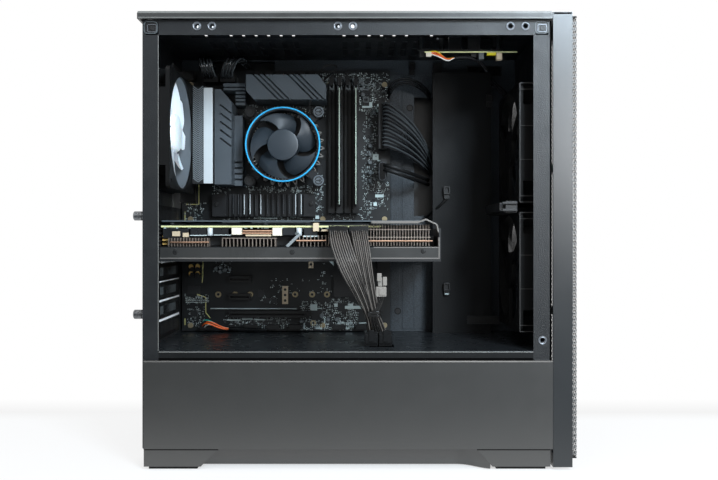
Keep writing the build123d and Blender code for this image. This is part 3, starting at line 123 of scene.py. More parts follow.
def join(*shapes):
    """All shapes as one: points stacked, and face numbers moved on by the points before them."""
    points, faces, start = [], [], 0
    for shape_points, shape_faces in shapes:
        points.append(shape_points)
        faces += [a + start for a in shape_faces]
        start += len(shape_points)
    return np.concatenate(points), faces


def repeat(shape, places):
    """The shape again at every place, each a shift in x, y and z."""
    return copies(np.asarray(places, float).reshape(-1, 1, 3) + shape[0], shape[1])


def laid(outline, facing, centre):
    """A flat outline (points, 2) laid in the facing's across and up about a centre."""
    across, up, out = FACING[facing]
    outline = np.asarray(outline, float)
    return np.asarray(centre, float) + outline[:, :1] * across + outline[:, 1:2] * up


def extruded(outline, low, high, centre=(0, 0, 0)):
    """A flat upright outline about a centre, carried from low to high towards the open side."""
    flat, out = laid(outline, "board", centre), FACING["board"][2]
    return capped(np.stack([flat + low * out, flat + high * out]))


def turned(profile, centre, facing="z", sides=40, closed=False):
    """Points (radius, height) turned round an axis: centre + r (cos a * across + sin a * up) + h * out."""
    across, up, out = FACING[facing]
    angle = np.arange(sides) * 2 * math.pi / sides
    ring = np.cos(angle)[:, None] * across + np.sin(angle)[:, None] * up
    profile = np.asarray(profile, float)
    points = np.asarray(centre, float) + profile[:, 0, None, None] * ring + profile[:, 1, None, None] * out
    return grid(points, around=True, along=True) if closed else capped(points)


def studs(profile, y, places, sides=20, closed=False):
    """The same turned profile at each (x, z) place, standing out of the upright plane at y."""
    return repeat(turned(profile, (0, y, 0), "board", sides, closed), [(x, 0, z) for x, z in places])


def blade(radii, starts, spans, rises, centre, facing, thick=1.4, camber=0.12, tuck=0.0):
    """One closed fan blade. At radius r its section runs from angle start over span degrees, while its height
    runs over rise millimetres and bows by camber of the chord; thickness thins towards both edges, and tuck
    pulls the tip in along its starting edge."""
    across, up, out = FACING[facing]
    loop, steps = 12, 14
    u = np.linspace(0, 1, steps)[:, None]
    v = np.concatenate([np.linspace(0, 1, loop), np.linspace(1, 0, loop)[1:-1]])[None]
    half = np.concatenate([np.ones(loop), -np.ones(loop - 2)])[None] * np.sin(np.pi * np.clip(v, 0.02, 0.98)) ** 0.6
    knots = np.linspace(0, 1, len(radii))
    r = np.interp(u, knots, radii) - tuck * u * (1 - v)
    angle = np.radians(np.interp(u, knots, starts) + v * np.interp(u, knots, spans))
    rise = np.interp(u, knots, rises)
    chord = np.abs(np.radians(np.interp(u, knots, spans))) * r
    height = (v - 0.5) * rise + camber * chord * 4 * v * (1 - v) * 0.5 + half * thick / 2
    return capped(np.asarray(centre, float) + (r * np.cos(angle))[..., None] * across
                  + (r * np.sin(angle))[..., None] * up + height[..., None] * out)


def spun(shape, count, centre, facing, first=0.0):
    """The shape again count times round the facing's axis through centre, a whole turn shared out evenly."""
    across, up, out = FACING[facing]
    local = shape[0] - np.asarray(centre, float)
    a, b, c = local @ across, local @ up, local @ out
    turn = np.radians(first) + np.arange(count)[:, None] * 2 * math.pi / count
    x, y = a * np.cos(turn) - b * np.sin(turn), a * np.sin(turn) + b * np.cos(turn)
    points = x[..., None] * across + y[..., None] * up + (c + 0 * x)[..., None] * out
    return copies(points + np.asarray(centre, float), shape[1])


def rounded(width, height, radius):
    """Outline of a rectangle about the origin with a quarter circle at each corner."""
    corner = 5
    angle = np.linspace(0, math.pi / 2, corner)
    turn = np.concatenate([angle + quarter * math.pi / 2 for quarter in range(4)])
    x_sign = np.repeat([1, -1, -1, 1], corner)
    y_sign = np.repeat([1, 1, -1, -1], corner)
    return np.column_stack([x_sign * (width / 2 - radius) + radius * np.cos(turn),
                            y_sign * (height / 2 - radius) + radius * np.sin(turn)])


def frame_strip(width, height, radius, wall, low, high, centre, facing="board"):
    """A rounded rectangular rim with straight walls, open through the middle."""
    outer = laid(rounded(width, height, radius), facing, centre)
    inner = laid(rounded(width - 2 * wall, height - 2 * wall, max(0.2, radius - wall)), facing, centre)
    out = FACING[facing][2]
    return grid(np.stack([outer + low * out, outer + high * out, inner + high * out, inner + low * out]),
                around=True, along=True)


def bare_object(name, points, faces):
    """A mesh object of points in millimetres, linked into the scene at the origin."""
    mesh = bpy.data.meshes.new(name)
    mesh.from_pydata((points * MM).tolist(), [], [row for f in faces for row in f.tolist()])
    made = bpy.data.objects.new(name, mesh)
    bpy.context.scene.collection.objects.link(made)
    return made


def piece(name, parts, body="chassis", smooth=False, bevel=0.0, replaced=()):
    """A new piece of the computer from (shape, material) pairs in millimetres, faces turned outwards."""
    made = bare_object(name, *join(*[shape for shape, _ in parts]))
    mesh = made.data
    materials = list(dict.fromkeys(material for _, material in parts))
    for material in materials:
        mesh.materials.append(material)
    which = [np.full(sum(len(f) for f in faces), materials.index(material)) for (_, faces), material in parts]
    mesh.polygons.foreach_set("material_index", np.concatenate(which))
    shell = bmesh.new()
    shell.from_mesh(mesh)
    bmesh.ops.recalc_face_normals(shell, faces=shell.faces)
    shell.to_mesh(mesh)
    shell.free()
    if smooth:
        mesh.shade_smooth()
        mesh.set_sharp_from_angle(angle=math.radians(38))
    if bevel:
        rounding = made.modifiers.new("edges", "BEVEL")
        rounding.width = bevel * MM
        rounding.segments = 2
        rounding.limit_method = "ANGLE"
    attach(made, body)
    if replaced:
        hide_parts(*replaced)
    return made


# ---------------------------------------------------------------- finishes
def wire(tree, node, sockets):
    """Gives each named socket its own value, or a link where the value is another node's output."""
    for name, value in sockets.items():
        if isinstance(value, bpy.types.NodeSocket):
            tree.links.new(value, node.inputs[name])
        else:
            node.inputs[name].default_value = value


def add(tree, kind, sockets=None, result=0, **fields):
    """A new shader node of a kind, with its fields set and its sockets wired; gives one of its outputs."""
    node = tree.nodes.new("ShaderNode" + kind)
    for field, value in fields.items():
        setattr(node, field, value)
    wire(tree, node, sockets or {})
    return node.outputs[result]


def finish(name, colour, rough, metal=0.0, grain=(0.0, 400.0), tint=0.08, gloss_change=0.06, speck=0.0,
           specular=0.5, **sockets):
    """Principled surface whose colour and roughness wander with noise, with a fine raised grain.

    grain is how deep and how fine the raised grain is, tint and gloss_change are how far colour and
    roughness wander, and speck is how much the grain itself lightens and darkens the colour.
    """
    depth, fineness = grain
    material = bpy.data.materials.new(name)
    material.use_nodes = True
    tree = material.node_tree
    place = add(tree, "TexCoord", result="Object")

    def noise(scale, detail):
        """Noise over the piece's own coordinates, scale waves to the metre."""
        return add(tree, "TexNoise", {"Scale": scale, "Detail": detail, "Vector": place}, "Fac")

    def spread(value, low, high):
        """Noise, which stays near the middle of 0 to 1, stretched to run from low to high."""
        return add(tree, "MapRange", {"From Min": 0.3, "From Max": 0.7, "To Min": low, "To Max": high, "Value": value})

    tone = add(tree, "Mix", {
        "A": (*[c * (1 - tint) for c in colour], 1), "B": (*[min(1, c * (1 + tint)) for c in colour], 1),
        "Factor": spread(noise(18.0, 4.0), 0, 1),
    }, "Result", data_type="RGBA")
    fine = noise(fineness, 2.0)
    if speck:
        tone = add(tree, "Mix", {"Factor": 1.0, "A": tone, "B": spread(fine, 1 - speck, 1 + speck)}, "Result",
                   data_type="RGBA", blend_type="MULTIPLY")
    wire(tree, tree.nodes["Principled BSDF"], {
        "Base Color": tone, "Metallic": metal, "Specular IOR Level": specular,
        "Roughness": spread(noise(60.0, 3.0), rough - gloss_change, rough + gloss_change),
        **{socket.replace("_", " "): value for socket, value in sockets.items()},
    })
    if depth:
        bump = add(tree, "Bump", {"Distance": 0.0003, "Strength": depth, "Height": fine})
        wire(tree, tree.nodes["Principled BSDF"], {"Normal": bump})
    return material


def srgb(*tone):
    """Screen tones 0 to 255 as the linear colour that a shader takes."""
    c = np.array(tone, float) / 255
    return tuple(np.where(c < 0.04045, c / 12.92, ((c + 0.055) / 1.055) ** 2.4).tolist())


black_paint = finish("black_paint", srgb(24, 26, 28), 0.38, grain=(0.8, 1050), speck=0.5, specular=0.4)
inner_paint = finish("inner_black_paint", srgb(15, 16, 17), 0.5, grain=(0.35, 700), tint=0.06, specular=0.2)
tray_paint = finish("tray_black_paint", srgb(46, 52, 57), 0.5, grain=(0.8, 900), tint=0.1, speck=0.4, specular=0.35)
deck_paint = finish("deck_black_paint", srgb(25, 28, 31), 0.3, grain=(0.25, 700), tint=0.1)
cover_paint = finish("cover_black_paint", srgb(28, 28, 26), 0.3, grain=(0.12, 900), tint=0.05, gloss_change=0.02,
                     speck=0.08, specular=1.0, Coat_Weight=0.8, Coat_Roughness=0.3)
bezel_paint = finish("bezel_black_paint", srgb(26, 29, 31), 0.3, grain=(0.06, 900), tint=0.05, gloss_change=0.01,
                     speck=0.06, specular=0.7)
# painted highlights: light grey paints for lit rims and edges
painted_rim_highlight = finish("painted_rim_highlight", srgb(104, 104, 101), 0.36, grain=(0.1, 900), tint=0.05)
bezel_highlight_paint = finish("painted_bezel_highlight", srgb(128, 123, 115), 0.5, tint=0.04, specular=0.2)
mesh_paint = finish("mesh_paint", srgb(104, 103, 101), 0.4, grain=(0.1, 1200))
top_paint = finish("top_black_paint", srgb(46, 46, 45), 0.36, grain=(0.2, 700), tint=0.05)
black_plastic = finish("black_plastic", srgb(18, 19, 21), 0.5, grain=(0.2, 1500))
connector_plastic = finish("connector_plastic", srgb(9, 10, 11), 0.35, grain=(0.1, 2000))
duct_plastic = finish("fan_frame_plastic", srgb(12, 12, 12), 0.5, grain=(0.15, 1200), specular=0.14)
fan_plastic = finish("fan_plastic", srgb(26, 28, 31), 0.42, grain=(0.15, 1200))
cooler_fan_plastic = finish("cooler_fan_plastic", srgb(42, 50, 57), 0.42, grain=(0.1, 1500))
fan_trim = finish("fan_frame_trim", srgb(40, 38, 36), 0.5, tint=0.1)
liner_grey = finish("fan_liner_grey", srgb(92, 99, 105), 0.5)
# painted shade: black for the shade in seams, gaps and recesses
painted_shade_black = finish("painted_shade_strip_black", srgb(5, 5, 5), 0.9, specular=0.05)
frosted_plastic = finish("frosted_plastic", srgb(246, 249, 252), 0.5, tint=0.01, Subsurface_Weight=0.3)
ring_blue = finish("ring_blue", srgb(60, 182, 238), 0.3, tint=0.03)
pad_rubber = finish("pad_rubber", srgb(22, 22, 22), 0.85, grain=(0.5, 600))
nickel = finish("nickel_plate", (0.62, 0.61, 0.58), 0.28, metal=1.0, grain=(0.05, 1500))
dull_steel = finish("dull_steel", (0.3, 0.3, 0.3), 0.4, metal=1.0)
bright_bits = finish("bright_solder", srgb(206, 220, 220), 0.3, metal=0.2, tint=0.3)
pale_parts = finish("pale_components", srgb(178, 194, 194), 0.4, tint=0.35)
grey_parts = finish("grey_components", srgb(84, 90, 92), 0.4, tint=0.4)
dark_parts = finish("dark_components", srgb(28, 30, 32), 0.32, tint=0.4)
beige_plastic = finish("beige_plastic", srgb(196, 178, 150), 0.5, tint=0.05)
tie_plastic = finish("tie_plastic", srgb(122, 117, 111), 0.45, tint=0.06)
white_plastic = finish("white_connector", srgb(222, 214, 196), 0.45, tint=0.05)
yellow_line = finish("trace_yellow", srgb(190, 188, 120), 0.5, tint=0.1)
yellow_plastic = finish("yellow_plastic", srgb(215, 200, 20), 0.45, tint=0.05)
orange_sleeve = finish("orange_insulation", srgb(235, 100, 30), 0.4, tint=0.05)
teal_sleeve = finish("teal_insulation", srgb(20, 165, 150), 0.4, tint=0.05)
white_sleeve = finish("white_insulation", srgb(225, 225, 220), 0.4, tint=0.05)
gold = finish("gold_cap", (0.85, 0.56, 0.18), 0.3, metal=0.7)
copper = finish("copper_pipe", (0.5, 0.3, 0.2), 0.35, metal=0.7, tint=0.2)
pcb_edge = finish("board_edge", srgb(214, 216, 160), 0.5, tint=0.1)
module_edge = finish("module_edge", srgb(176, 192, 176), 0.45, tint=0.1)
dark_screw = finish("black_oxide", srgb(42, 42, 42), 0.35, metal=0.4)
screw_steel = finish("screw_steel", srgb(118, 120, 122), 0.3, metal=0.9, grain=(0.6, 500), tint=0.3, speck=0.3)
pin_plastic = finish("pin_plastic", srgb(100, 107, 112), 0.35, grain=(0.1, 1500))
socket_steel = finish("socket_steel", srgb(112, 115, 120), 0.28, metal=0.6)
brass = finish("brass", (0.42, 0.35, 0.22), 0.3, metal=0.8)
solder_mask = finish("black_solder_mask", srgb(14, 18, 20), 0.38, tint=0.3)
anodised = finish("grey_anodised", srgb(76, 84, 90), 0.42, metal=0.15, grain=(0.1, 1800))
sink_grey = finish("sink_anodised", srgb(74, 81, 87), 0.45, metal=0.15, grain=(0.1, 1800))
dark_anodised = finish("dark_anodised", srgb(16, 17, 19), 0.45, metal=0.1, grain=(0.1, 1800))
pale_rib = finish("herringbone_rib", srgb(104, 110, 114), 0.35, tint=0.1)
rib_finish = finish("rib_plastic", srgb(62, 66, 70), 0.35, grain=(0.1, 1800))
rail_paint = finish("rail_paint", srgb(112, 108, 104), 0.4, metal=0.2, tint=0.1)
silver_paint = finish("silver_paint", srgb(196, 203, 206), 0.42, metal=0.1, grain=(0.15, 1500))
# painted light: white for the light seen in holes and gaps
painted_light_white = finish("painted_light_white", srgb(250, 250, 250), 0.5, tint=0.01)
bare_aluminium = finish("bare_aluminium", (0.42, 0.41, 0.39), 0.34, metal=0.7, grain=(0.08, 800))
fin_metal = finish("card_fins", srgb(138, 126, 116), 0.4, metal=0.3, tint=0.2)
glossy_fan = finish("glossy_fan_plastic", srgb(14, 15, 17), 0.16, tint=0.1)
glossy_black = finish("glossy_black", srgb(14, 15, 16), 0.14, tint=0.1)
cable_sleeve = finish("cable_sleeve", srgb(24, 24, 26), 0.22, tint=0.1)
# painted highlights: a lighter copy of the sleeve colour, laid as every other lead
cable_sleeve_painted_highlight = finish("cable_sleeve_painted_highlight", srgb(62, 66, 68), 0.2, tint=0.15)
card_sleeve = finish("card_sleeve", srgb(26, 25, 24), 0.24, tint=0.15)
# painted highlights: a lighter copy of the card sleeve colour, laid as every other lead
card_sleeve_painted_highlight = finish("card_sleeve_painted_highlight", srgb(100, 95, 90), 0.24, tint=0.15)
soft_black = finish("flexible_black", srgb(10, 10, 11), 0.45, tint=0.1)

node_finish = {
    black_paint: ["rear_panel", "top_frame", "front_frame", "slot_retainer"],
    inner_paint: ["cable_cover", "bottom_pan", "slot_covers", "psu_case"],
    tray_paint: ["motherboard_tray"],
    deck_paint: ["psu_shroud"],
    cover_paint: ["lower_side_cover", "right_side_panel", "feet"],
    bezel_paint: ["front_bezel"],
    top_paint: ["top_panel"],
    black_plastic: ["top_filter", "gpu_shroud", "io_cover", "power_button", "psu_switch", "push_pins"],
    duct_plastic: ["case_fan_frames"],
    connector_plastic: ["dimm_slots", "pcie_slots", "board_sockets", "cable_plugs", "dimm_latches"],
    fan_plastic: ["gpu_fan_rotor_1", "gpu_fan_rotor_2", "gpu_fan_rotor_3", "psu_fan_rotor", "cpu_fan_frame"],
    ring_blue: ["cpu_fan_ring"],
    pad_rubber: ["foot_pads"],
    nickel: ["cpu_package"],
    dull_steel: ["io_shield", "gpu_bracket"],
    screw_steel: ["retainer_thumbscrews", "panel_thumbscrews"],
    brass: ["standoffs"],
    solder_mask: ["motherboard_pcb", "gpu_pcb", "memory_modules", "front_io_board"],
    anodised: ["vrm_heatsink_top", "gpu_backplate"],
    sink_grey: ["vrm_heatsink_left"],
    dark_anodised: ["board_heatsinks"],
    fin_metal: ["gpu_fin_stack"],
}
for material, names in node_finish.items():
    for name in names:
        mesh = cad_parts[name].data
        mesh.materials.clear()
        mesh.materials.append(material)

# ---------------------------------------------------------------- cables
def smooth_line(route):
    """Points in millimetres along the smooth line that a route's points pull, read from one spline."""
    data = bpy.data.curves.new("route", "CURVE")
    data.dimensions = "3D"
    data.resolution_u = 8
    line = data.splines.new("NURBS")
    line.points.add(len(route) - 1)
    line.points.foreach_set("co", np.column_stack([np.asarray(route) * MM, np.ones(len(route))]).ravel())
    line.order_u = 3
    line.use_endpoint_u = True
    carrier = bpy.data.objects.new("route", data)
    mesh = bpy.data.meshes.new_from_object(carrier)
    points = np.empty(3 * len(mesh.vertices))
    mesh.vertices.foreach_get("co", points)
    bpy.data.objects.remove(carrier)
    bpy.data.curves.remove(data)
    bpy.data.meshes.remove(mesh)
    return points.reshape(-1, 3) / MM


def leads(path, over, deep, radius, across):
    """Round leads side by side along a path. At each point of the path lead k stands over[k] along the
    direction across, squared to the path, and deep[k] along the third direction; all ends are closed."""
    tangent = np.gradient(path, axis=0)
    tangent /= np.linalg.norm(tangent, axis=1, keepdims=True)
    side = np.asarray(across, float) - (tangent @ np.asarray(across, float))[:, None] * tangent
    side /= np.linalg.norm(side, axis=1, keepdims=True)
    other = np.cross(tangent, side)
    middle = path[None] + over[..., None] * side[None] + deep[..., None] * other[None]
    sides = 8
    angle = np.arange(sides) * 2 * math.pi / sides
    ring = np.cos(angle)[None, :, None] * side[:, None] + np.sin(angle)[None, :, None] * other[:, None]
    points = middle[:, :, None] + radius * ring[None]
    first = np.arange(sides)
    caps = np.stack([first[::-1], first + (len(path) - 1) * sides])
    return copies(points.reshape(len(points), -1, 3), [grid(points[0], around=True)[1][0], caps])


def along(path, stations):
    """Values along a path from (share of its length, value) pairs, straight between them."""
    run = np.concatenate([[0], np.cumsum(np.linalg.norm(np.diff(path, axis=0), axis=1))])
    shares, values = zip(*stations)
    return np.interp(run / run[-1], shares, values)


def cable(name, route, count, radius, width, across, gaps, depths, material=cable_sleeve, layers=2,
          stiffness="medium", lay="taut", replaced=(), with_pieces=(), bright=None):
    """A flat or round bundle of leads along a route: gaps are the steps between leads and depths the steps
    between layers, each as (share, millimetres) pairs along the route. Every other lead may be a brighter one,
    a painted highlight along the bundle."""
    path = smooth_line(route)
    order = np.arange(count)
    over = (order - (count - 1) / 2)[:, None] * along(path, gaps)[None]
    deep = (order % layers - (layers - 1) / 2)[:, None] * along(path, depths)[None]
    # the brighter leads are painted highlights along the bundle
    if bright:
        parts = [(leads(path, over[first::2], deep[first::2], radius, across), kind)
                 for first, kind in ((0, material), (1, bright))]
    else:
        parts = [(leads(path, over, deep, radius, across), material)]
    made = piece(name, parts, smooth=True, replaced=replaced)


def lead(name, route, radius, material, **ways):
    """One round lead along a route."""
    cable(name, route, 1, radius, 2 * radius, (0, 0, 1), [(0, 0)], [(0, 0)], material, 1, **ways)


# each route runs from a plug to where its leads go out of sight, through points chosen one by one
card_left = [(-16.25, -57, 231.3), (-16.25, -66, 231.3), (-15.4, -75, 227), (-13.4, -82, 218.5), (-9, -85, 205),
             (-1.8, -82.8, 187), (6.2, -76.5, 169.5), (13.2, -68.2, 152.5), (17.0, -61.3, 136), (19.2, -58.2, 120),
             (19.8, -57.2, 107)]
card_right = [(4.75, -57, 231.3), (4.75, -66, 231.3), (5.4, -75, 227), (7.0, -82.2, 218.5), (9.4, -85.3, 205),
              (12.6, -83.2, 187), (16.2, -77, 169.5), (20.0, -68.6, 152.5), (25.0, -61.6, 136), (28.6, -58.4, 120),
              (30, -57.2, 107)]
cable("card_power_left", card_left, 18, 0.56, 19, (1, 0, 0),
      [(0, 1.02), (0.2, 1.15), (0.35, 1.1), (0.6, 0.78), (0.76, 0.42), (0.86, 0.5), (1, 0.45)],
      [(0, 0.5), (0.4, 0.4), (0.76, 1.9), (1, 1.6)], card_sleeve, 3, bright=card_sleeve_painted_highlight,
      replaced=["gpu_power_cables"], with_pieces=[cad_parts["cable_plugs"]])
cable("card_power_right", card_right, 16, 0.54, 17, (1, 0, 0),
      [(0, 1.1), (0.2, 1.0), (0.35, 0.85), (0.6, 0.6), (0.74, 0.42), (0.86, 0.75), (1, 0.45)],
      [(0, 0.5), (0.4, 0.6), (0.76, 1.9), (1, 1.6)], card_sleeve, 3, bright=card_sleeve_painted_highlight)
# main board power: strips of four leads from the top of the plug to the bottom
strip_start = 352.5 + np.array([21.5, 12.9, 4.3, -4.3, -12.9, -21.5])
strip_bow = [(33.0, 315), (31.0, 312), (36, 309), (40.5, 306), (45, 303), (49, 300)]
for number, (start, (near, stop)) in enumerate(zip(strip_start, strip_bow), start=1):
    xs = np.array([36.5, 44.5, 54, 63.5, 72, 79.5, 86, 91])
    ys = np.array([34.5, 31.5, 33.0, 38, 46, 57, 70, 84]) + (near - 31) * np.sin(np.pi * np.linspace(0.1, 0.8, 8)) * 0.9
    zs = start + (stop - start) * np.linspace(0, 1, 8) ** 1.25
    route = [(32, 47, start), (32, 40.5, start), *[tuple(p) for p in np.column_stack([xs, ys, zs]).tolist()]]
    cable(f"board_power_{number}", route, 4, 0.95, 8.6, (0, 0, 1), [(0, 2.15), (0.6, 1.9), (1, 1.4)],
          [(0, 0.6), (0.6, 0.6), (1, 1.2)], bright=cable_sleeve_painted_highlight,
          replaced=["atx_power_cable"] if number == 1 else ())
eps_left = [(-164.5, 47, 407.5), (-164.5, 40.5, 407.5), (-166, 34.5, 412.8), (-167.6, 31.5, 419.6),
            (-169.2, 34, 426), (-170.2, 41.5, 429.6), (-170.6, 53, 430), (-170.4, 67, 428.6), (-169.8, 80, 427.4),
            (-169.4, 90, 427)]
eps_right = [(-145.5, 47, 407.5), (-145.5, 40.5, 407.5), (-143.8, 34.5, 412.8), (-141, 31.5, 419.6),
             (-137.4, 34, 426), (-133.8, 41.5, 429.6), (-130.8, 53, 430), (-128.8, 67, 428.6), (-127.8, 80, 427.4),
             (-127.4, 90, 427)]
for number, route in enumerate((eps_left, eps_right), start=1):
    cable(f"processor_power_{number}", route, 8, 0.9, 13.5, (1, 0, 0), [(0, 1.7), (0.3, 1.75), (1, 1.1)],
          [(0, 1.9), (0.3, 1.0), (1, 1.6)], bright=cable_sleeve_painted_highlight,
          replaced=["cpu_power_cables"] if number == 1 else ())
usb_upper = [(33.5, 47, 307), (33.5, 41.5, 307), (37.6, 36.6, 306), (44.6, 34.6, 303.9), (53.8, 36.4, 300.9),
             (63, 42.4, 298), (71.2, 51.6, 295.9), (78, 62, 294.6), (84, 74, 293.8), (87, 87, 293.4)]
for number, drop in ((1, 0.0), (2, -5.3)):
    lead(f"front_usb_{number}", [(x, y, z + drop) for x, y, z in usb_upper], 2.3, soft_black,
         replaced=["usb3_cable"] if number == 1 else ())

# plug boots and the blocks beside them
boot = extruded(rounded(7.6, 20.5, 3.4), 0, 7.5, (31.6, 48, 300.2))
# painted highlight: a lighter rim round the edge of the glossy boot
boot_rim_highlight = frame_strip(8.0, 21.0, 3.6, 0.5, 6.2, 7.6, (31.6, 48, 300.2))
piece("usb_boot", [(boot, glossy_black), (boot_rim_highlight, rib_finish)], smooth=True)
spare_body = extruded(rounded(10.6, 10.0, 1.0), 0, 7.6, (27.2, -66, 170.2))
spare_blocks = blocks([(24.0, 28.2, -73, -67, 175.4, 184.2), (28.8, 33.0, -73, -67, 176.2, 185.0),
                       (23.0, 27.6, -75, -73, 180.6, 188.8), (25.0, 31.0, -74.6, -73.4, 166.8, 173.6)])
spare_plug = piece("spare_plug", [(spare_body, tie_plastic), (spare_blocks, tie_plastic)], bevel=0.5)
cable("spare_leads", [(26.6, -69.5, 165.3), (26.0, -70, 160), (23.4, -70.8, 154), (20.6, -70.8, 148.4),
                      (20.0, -69, 142), (21.6, -66.5, 135.5), (23.8, -64.5, 129)], 4, 0.85, 5.2, (1, 0, 0),
      [(0, 2.0), (0.5, 1.25), (1, 2.3)], [(0, 0.4), (1, 0.8)], card_sleeve, lay="hanging", with_pieces=[spare_plug])
tie_turns = [frame_strip(14.5, 12.5, 4.4, 0.9, low, low + 2.4, (20.4, -66.8, 147.4), "z") for low in (-2.6, 0.4)]
tie_head = extruded(rounded(3.6, 4.4, 0.6), 0, 2.6, (15.4, -71.5, 147.6))
piece("cable_tie", [(join(*tie_turns), card_sleeve), (tie_head, card_sleeve)], bevel=0.2)
deck_plug = blocks([
    (x0 + inset, x1 - inset, front, back, low, high)
    for inset, front, back, low, high in ((0, -66.5, -56.2, 114.6, 129.6), (0.8, -67.4, -66.5, 117.0, 126.5),
                                          (4.4, -69.4, -67.4, 119.5, 131.4))
    for x0, x1 in ((10.6, 24.2), (25.0, 38.6))
])
piece("deck_plugs", [(deck_plug, glossy_black)], bevel=0.5)
# arcs of thin leads: over the memory's end to the cover, from the front fans up to the wall
hub_depths = [(0, 0.5), (1, 1.0)]
cable("fan_hub_lead_1", [(38.5, 60, 391), (39.5, 55, 397), (44, 51.5, 402.5), (52, 50.5, 406.3), (62, 52, 407),
                         (72, 55.5, 404.2), (80, 61, 399.6), (86, 69, 395), (89, 77, 391.5)],
      2, 0.95, 3.4, (0, 0, 1), [(0, 2.1), (1, 1.6)], hub_depths, glossy_black)
cable("fan_hub_lead_2", [(38.5, 60, 386), (41, 55, 392.5), (46, 51.5, 398.5), (54, 50.5, 402), (63, 52, 402.4),
                         (72.5, 55.5, 399.2), (80, 61, 395), (85.5, 69, 391), (88, 77, 388)],
      2, 0.9, 3.2, (0, 0, 1), [(0, 1.9), (1, 1.5)], hub_depths, glossy_black)
cable("front_fan_lead", [(148.5, 79, 420), (150, 73, 417.5), (153, 66, 412.5), (157, 59, 406), (161.5, 52, 399.6),
                         (166, 46.5, 393.8), (170.5, 42.5, 388.4), (174, 40, 383)],
      3, 1.35, 6.6, (0, 0, 1), [(0, 2.3), (1, 2.0)], [(0, 0.9), (1, 0.9)])
# thin coloured leads: front panel header, and the front sockets' board
panel_lead = [(-176.5, 63, 124.5), (-173.5, 57.5, 127.4), (-168.4, 55, 127.6), (-162.6, 56, 124.8),
              (-156.4, 58.5, 121.4), (-149.5, 60.5, 119.3), (-141, 61.5, 118.4)]
for colour, (over, back, lift), material in (
        ("teal", (0, 0, 2.6), teal_sleeve), ("orange", (2.4, -0.6, 0.4), orange_sleeve),
        ("red", (-0.6, 0, -2.2), orange_sleeve), ("white", (1.6, 1.2, -4.2), white_sleeve)):
    route = [(x + over, y + back, z + lift * (1 - step / 7)) for step, (x, y, z) in enumerate(panel_lead)]
    lead(f"panel_lead_{colour}", route, 0.75, material, stiffness="limp", lay="loose")
lead("panel_lead_sleeve", [(-146, 61, 119.2), (-139, 61.4, 118.6), (-130, 61.8, 118), (-120.5, 61.6, 117.6),
                           (-111, 61.8, 117.4), (-102, 63, 117.4)], 2.3, glossy_black, lay="loose")
for colour, lift, swing, material in (("orange", 0.6, 0, orange_sleeve), ("yellow", 1.4, -4, yellow_plastic),
                                      ("red", -1.2, 2, orange_sleeve), ("white", -2.4, 4, white_sleeve)):
    route = [(76.5 - abs(swing) / 4, -41.5, 416.4), (82, -46 - lift, 416.4 + lift), (88, -47.5, 413.6 + lift),
             (92.5 + swing / 4, -46, 410.4 + lift), (97.4 + swing / 2, -43.5, 409.0 + lift / 2),
             (101.6, -41.5, 410.6), (107.5, -40.5, 412.4)]
    lead(f"socket_lead_{colour}", route, 0.7, material, stiffness="limp", lay="loose")
lead("socket_sleeve", [(104, -41, 411.4), (110, -40.2, 412.3), (117, -39, 412.6), (124, -37, 411.6), (130.5, -34, 409),
                       (136, -29, 405.6), (140, -22, 402)], 2.0, cable_sleeve, lay="loose")

# ---------------------------------------------------------------- case
SIDE = -100.0  # the open side's outer face
window_sockets = [(x, 429.6) for x in (-152.0, -137.5, -15.4, -0.8, 152.0, 166.6)] + [(183.0, 125.0)]
rim = [(2.25, -3.2), (2.25, 0.25), (2.7, 0.6), (3.1, 0.35), (3.6, 0.35), (4.0, 0.6), (4.2, 0.35), (4.2, 0.0),
       (3.0, 0.0), (3.0, -3.2)]
socket_parts = [(studs(rim, SIDE, window_sockets, 28, closed=True), socket_steel)]
corner_screw = [(0.4, -0.4), (1.1, -0.4), (1.1, 0.0), (2.2, 0.0), (2.5, -0.3), (2.5, -0.7), (0.4, -0.7)]
for x, shift in ((-197.0, 2.4), (182.4, 0.6)):
    socket_parts += [
        (frame_strip(13.2, 11.6, 3.0, 0.5, -1.0, 0.4, (x, SIDE, 428.0)), grey_parts),
        (extruded(rounded(12.0, 10.4, 2.6), -2.2, -0.6, (x, SIDE, 428.0)), connector_plastic),
        (frame_strip(9.0, 7.6, 1.6, 0.5, -1.0, 0.2, (x + shift / 2, SIDE, 427.4)), socket_steel),
        (turned(corner_screw, (x + shift / 2 + 0.4, SIDE, 427.6), "board", 20), dark_screw),
    ]
# painted light: white discs inside the sockets' threads, where light is seen through them
socket_parts += [
    (turned([(0.1, -1.6), (r, -1.6), (r, -1.9), (0.1, -1.9)], (x, SIDE, z), "board", 16), painted_light_white)
    for x, z, r in ((-151.2, 429.0, 1.4), (-136.9, 428.9, 1.0), (-14.6, 429.4, 1.2), (-0.9, 429.6, 1.9))
]
piece("window_sockets", socket_parts, smooth=True, replaced=["side_panel_sockets"])

# rolled sill under the side opening, with a painted highlight along its lip; black strips paint the shade in the gap
# under the sill and in the seams over the feet
piece("side_sill", [
    (slabs(-189.2, 174.0, -100.22, -99.7, 107.5, 113.8), inner_paint),
    (slabs(-189.2, 174.0, -100.34, -99.7, 112.9, 113.8), painted_rim_highlight),
], bevel=0.2)
seam_shade = blocks([(-189.4, 174.2, -100.15, -99.9, 105.2, 107.5), (-202.8, -131, -103.15, -102.9, 18.9, 20.2),
                (119, 189.8, -103.15, -102.9, 18.9, 20.2)])
piece("side_seam_shade", [(seam_shade, painted_shade_black)])
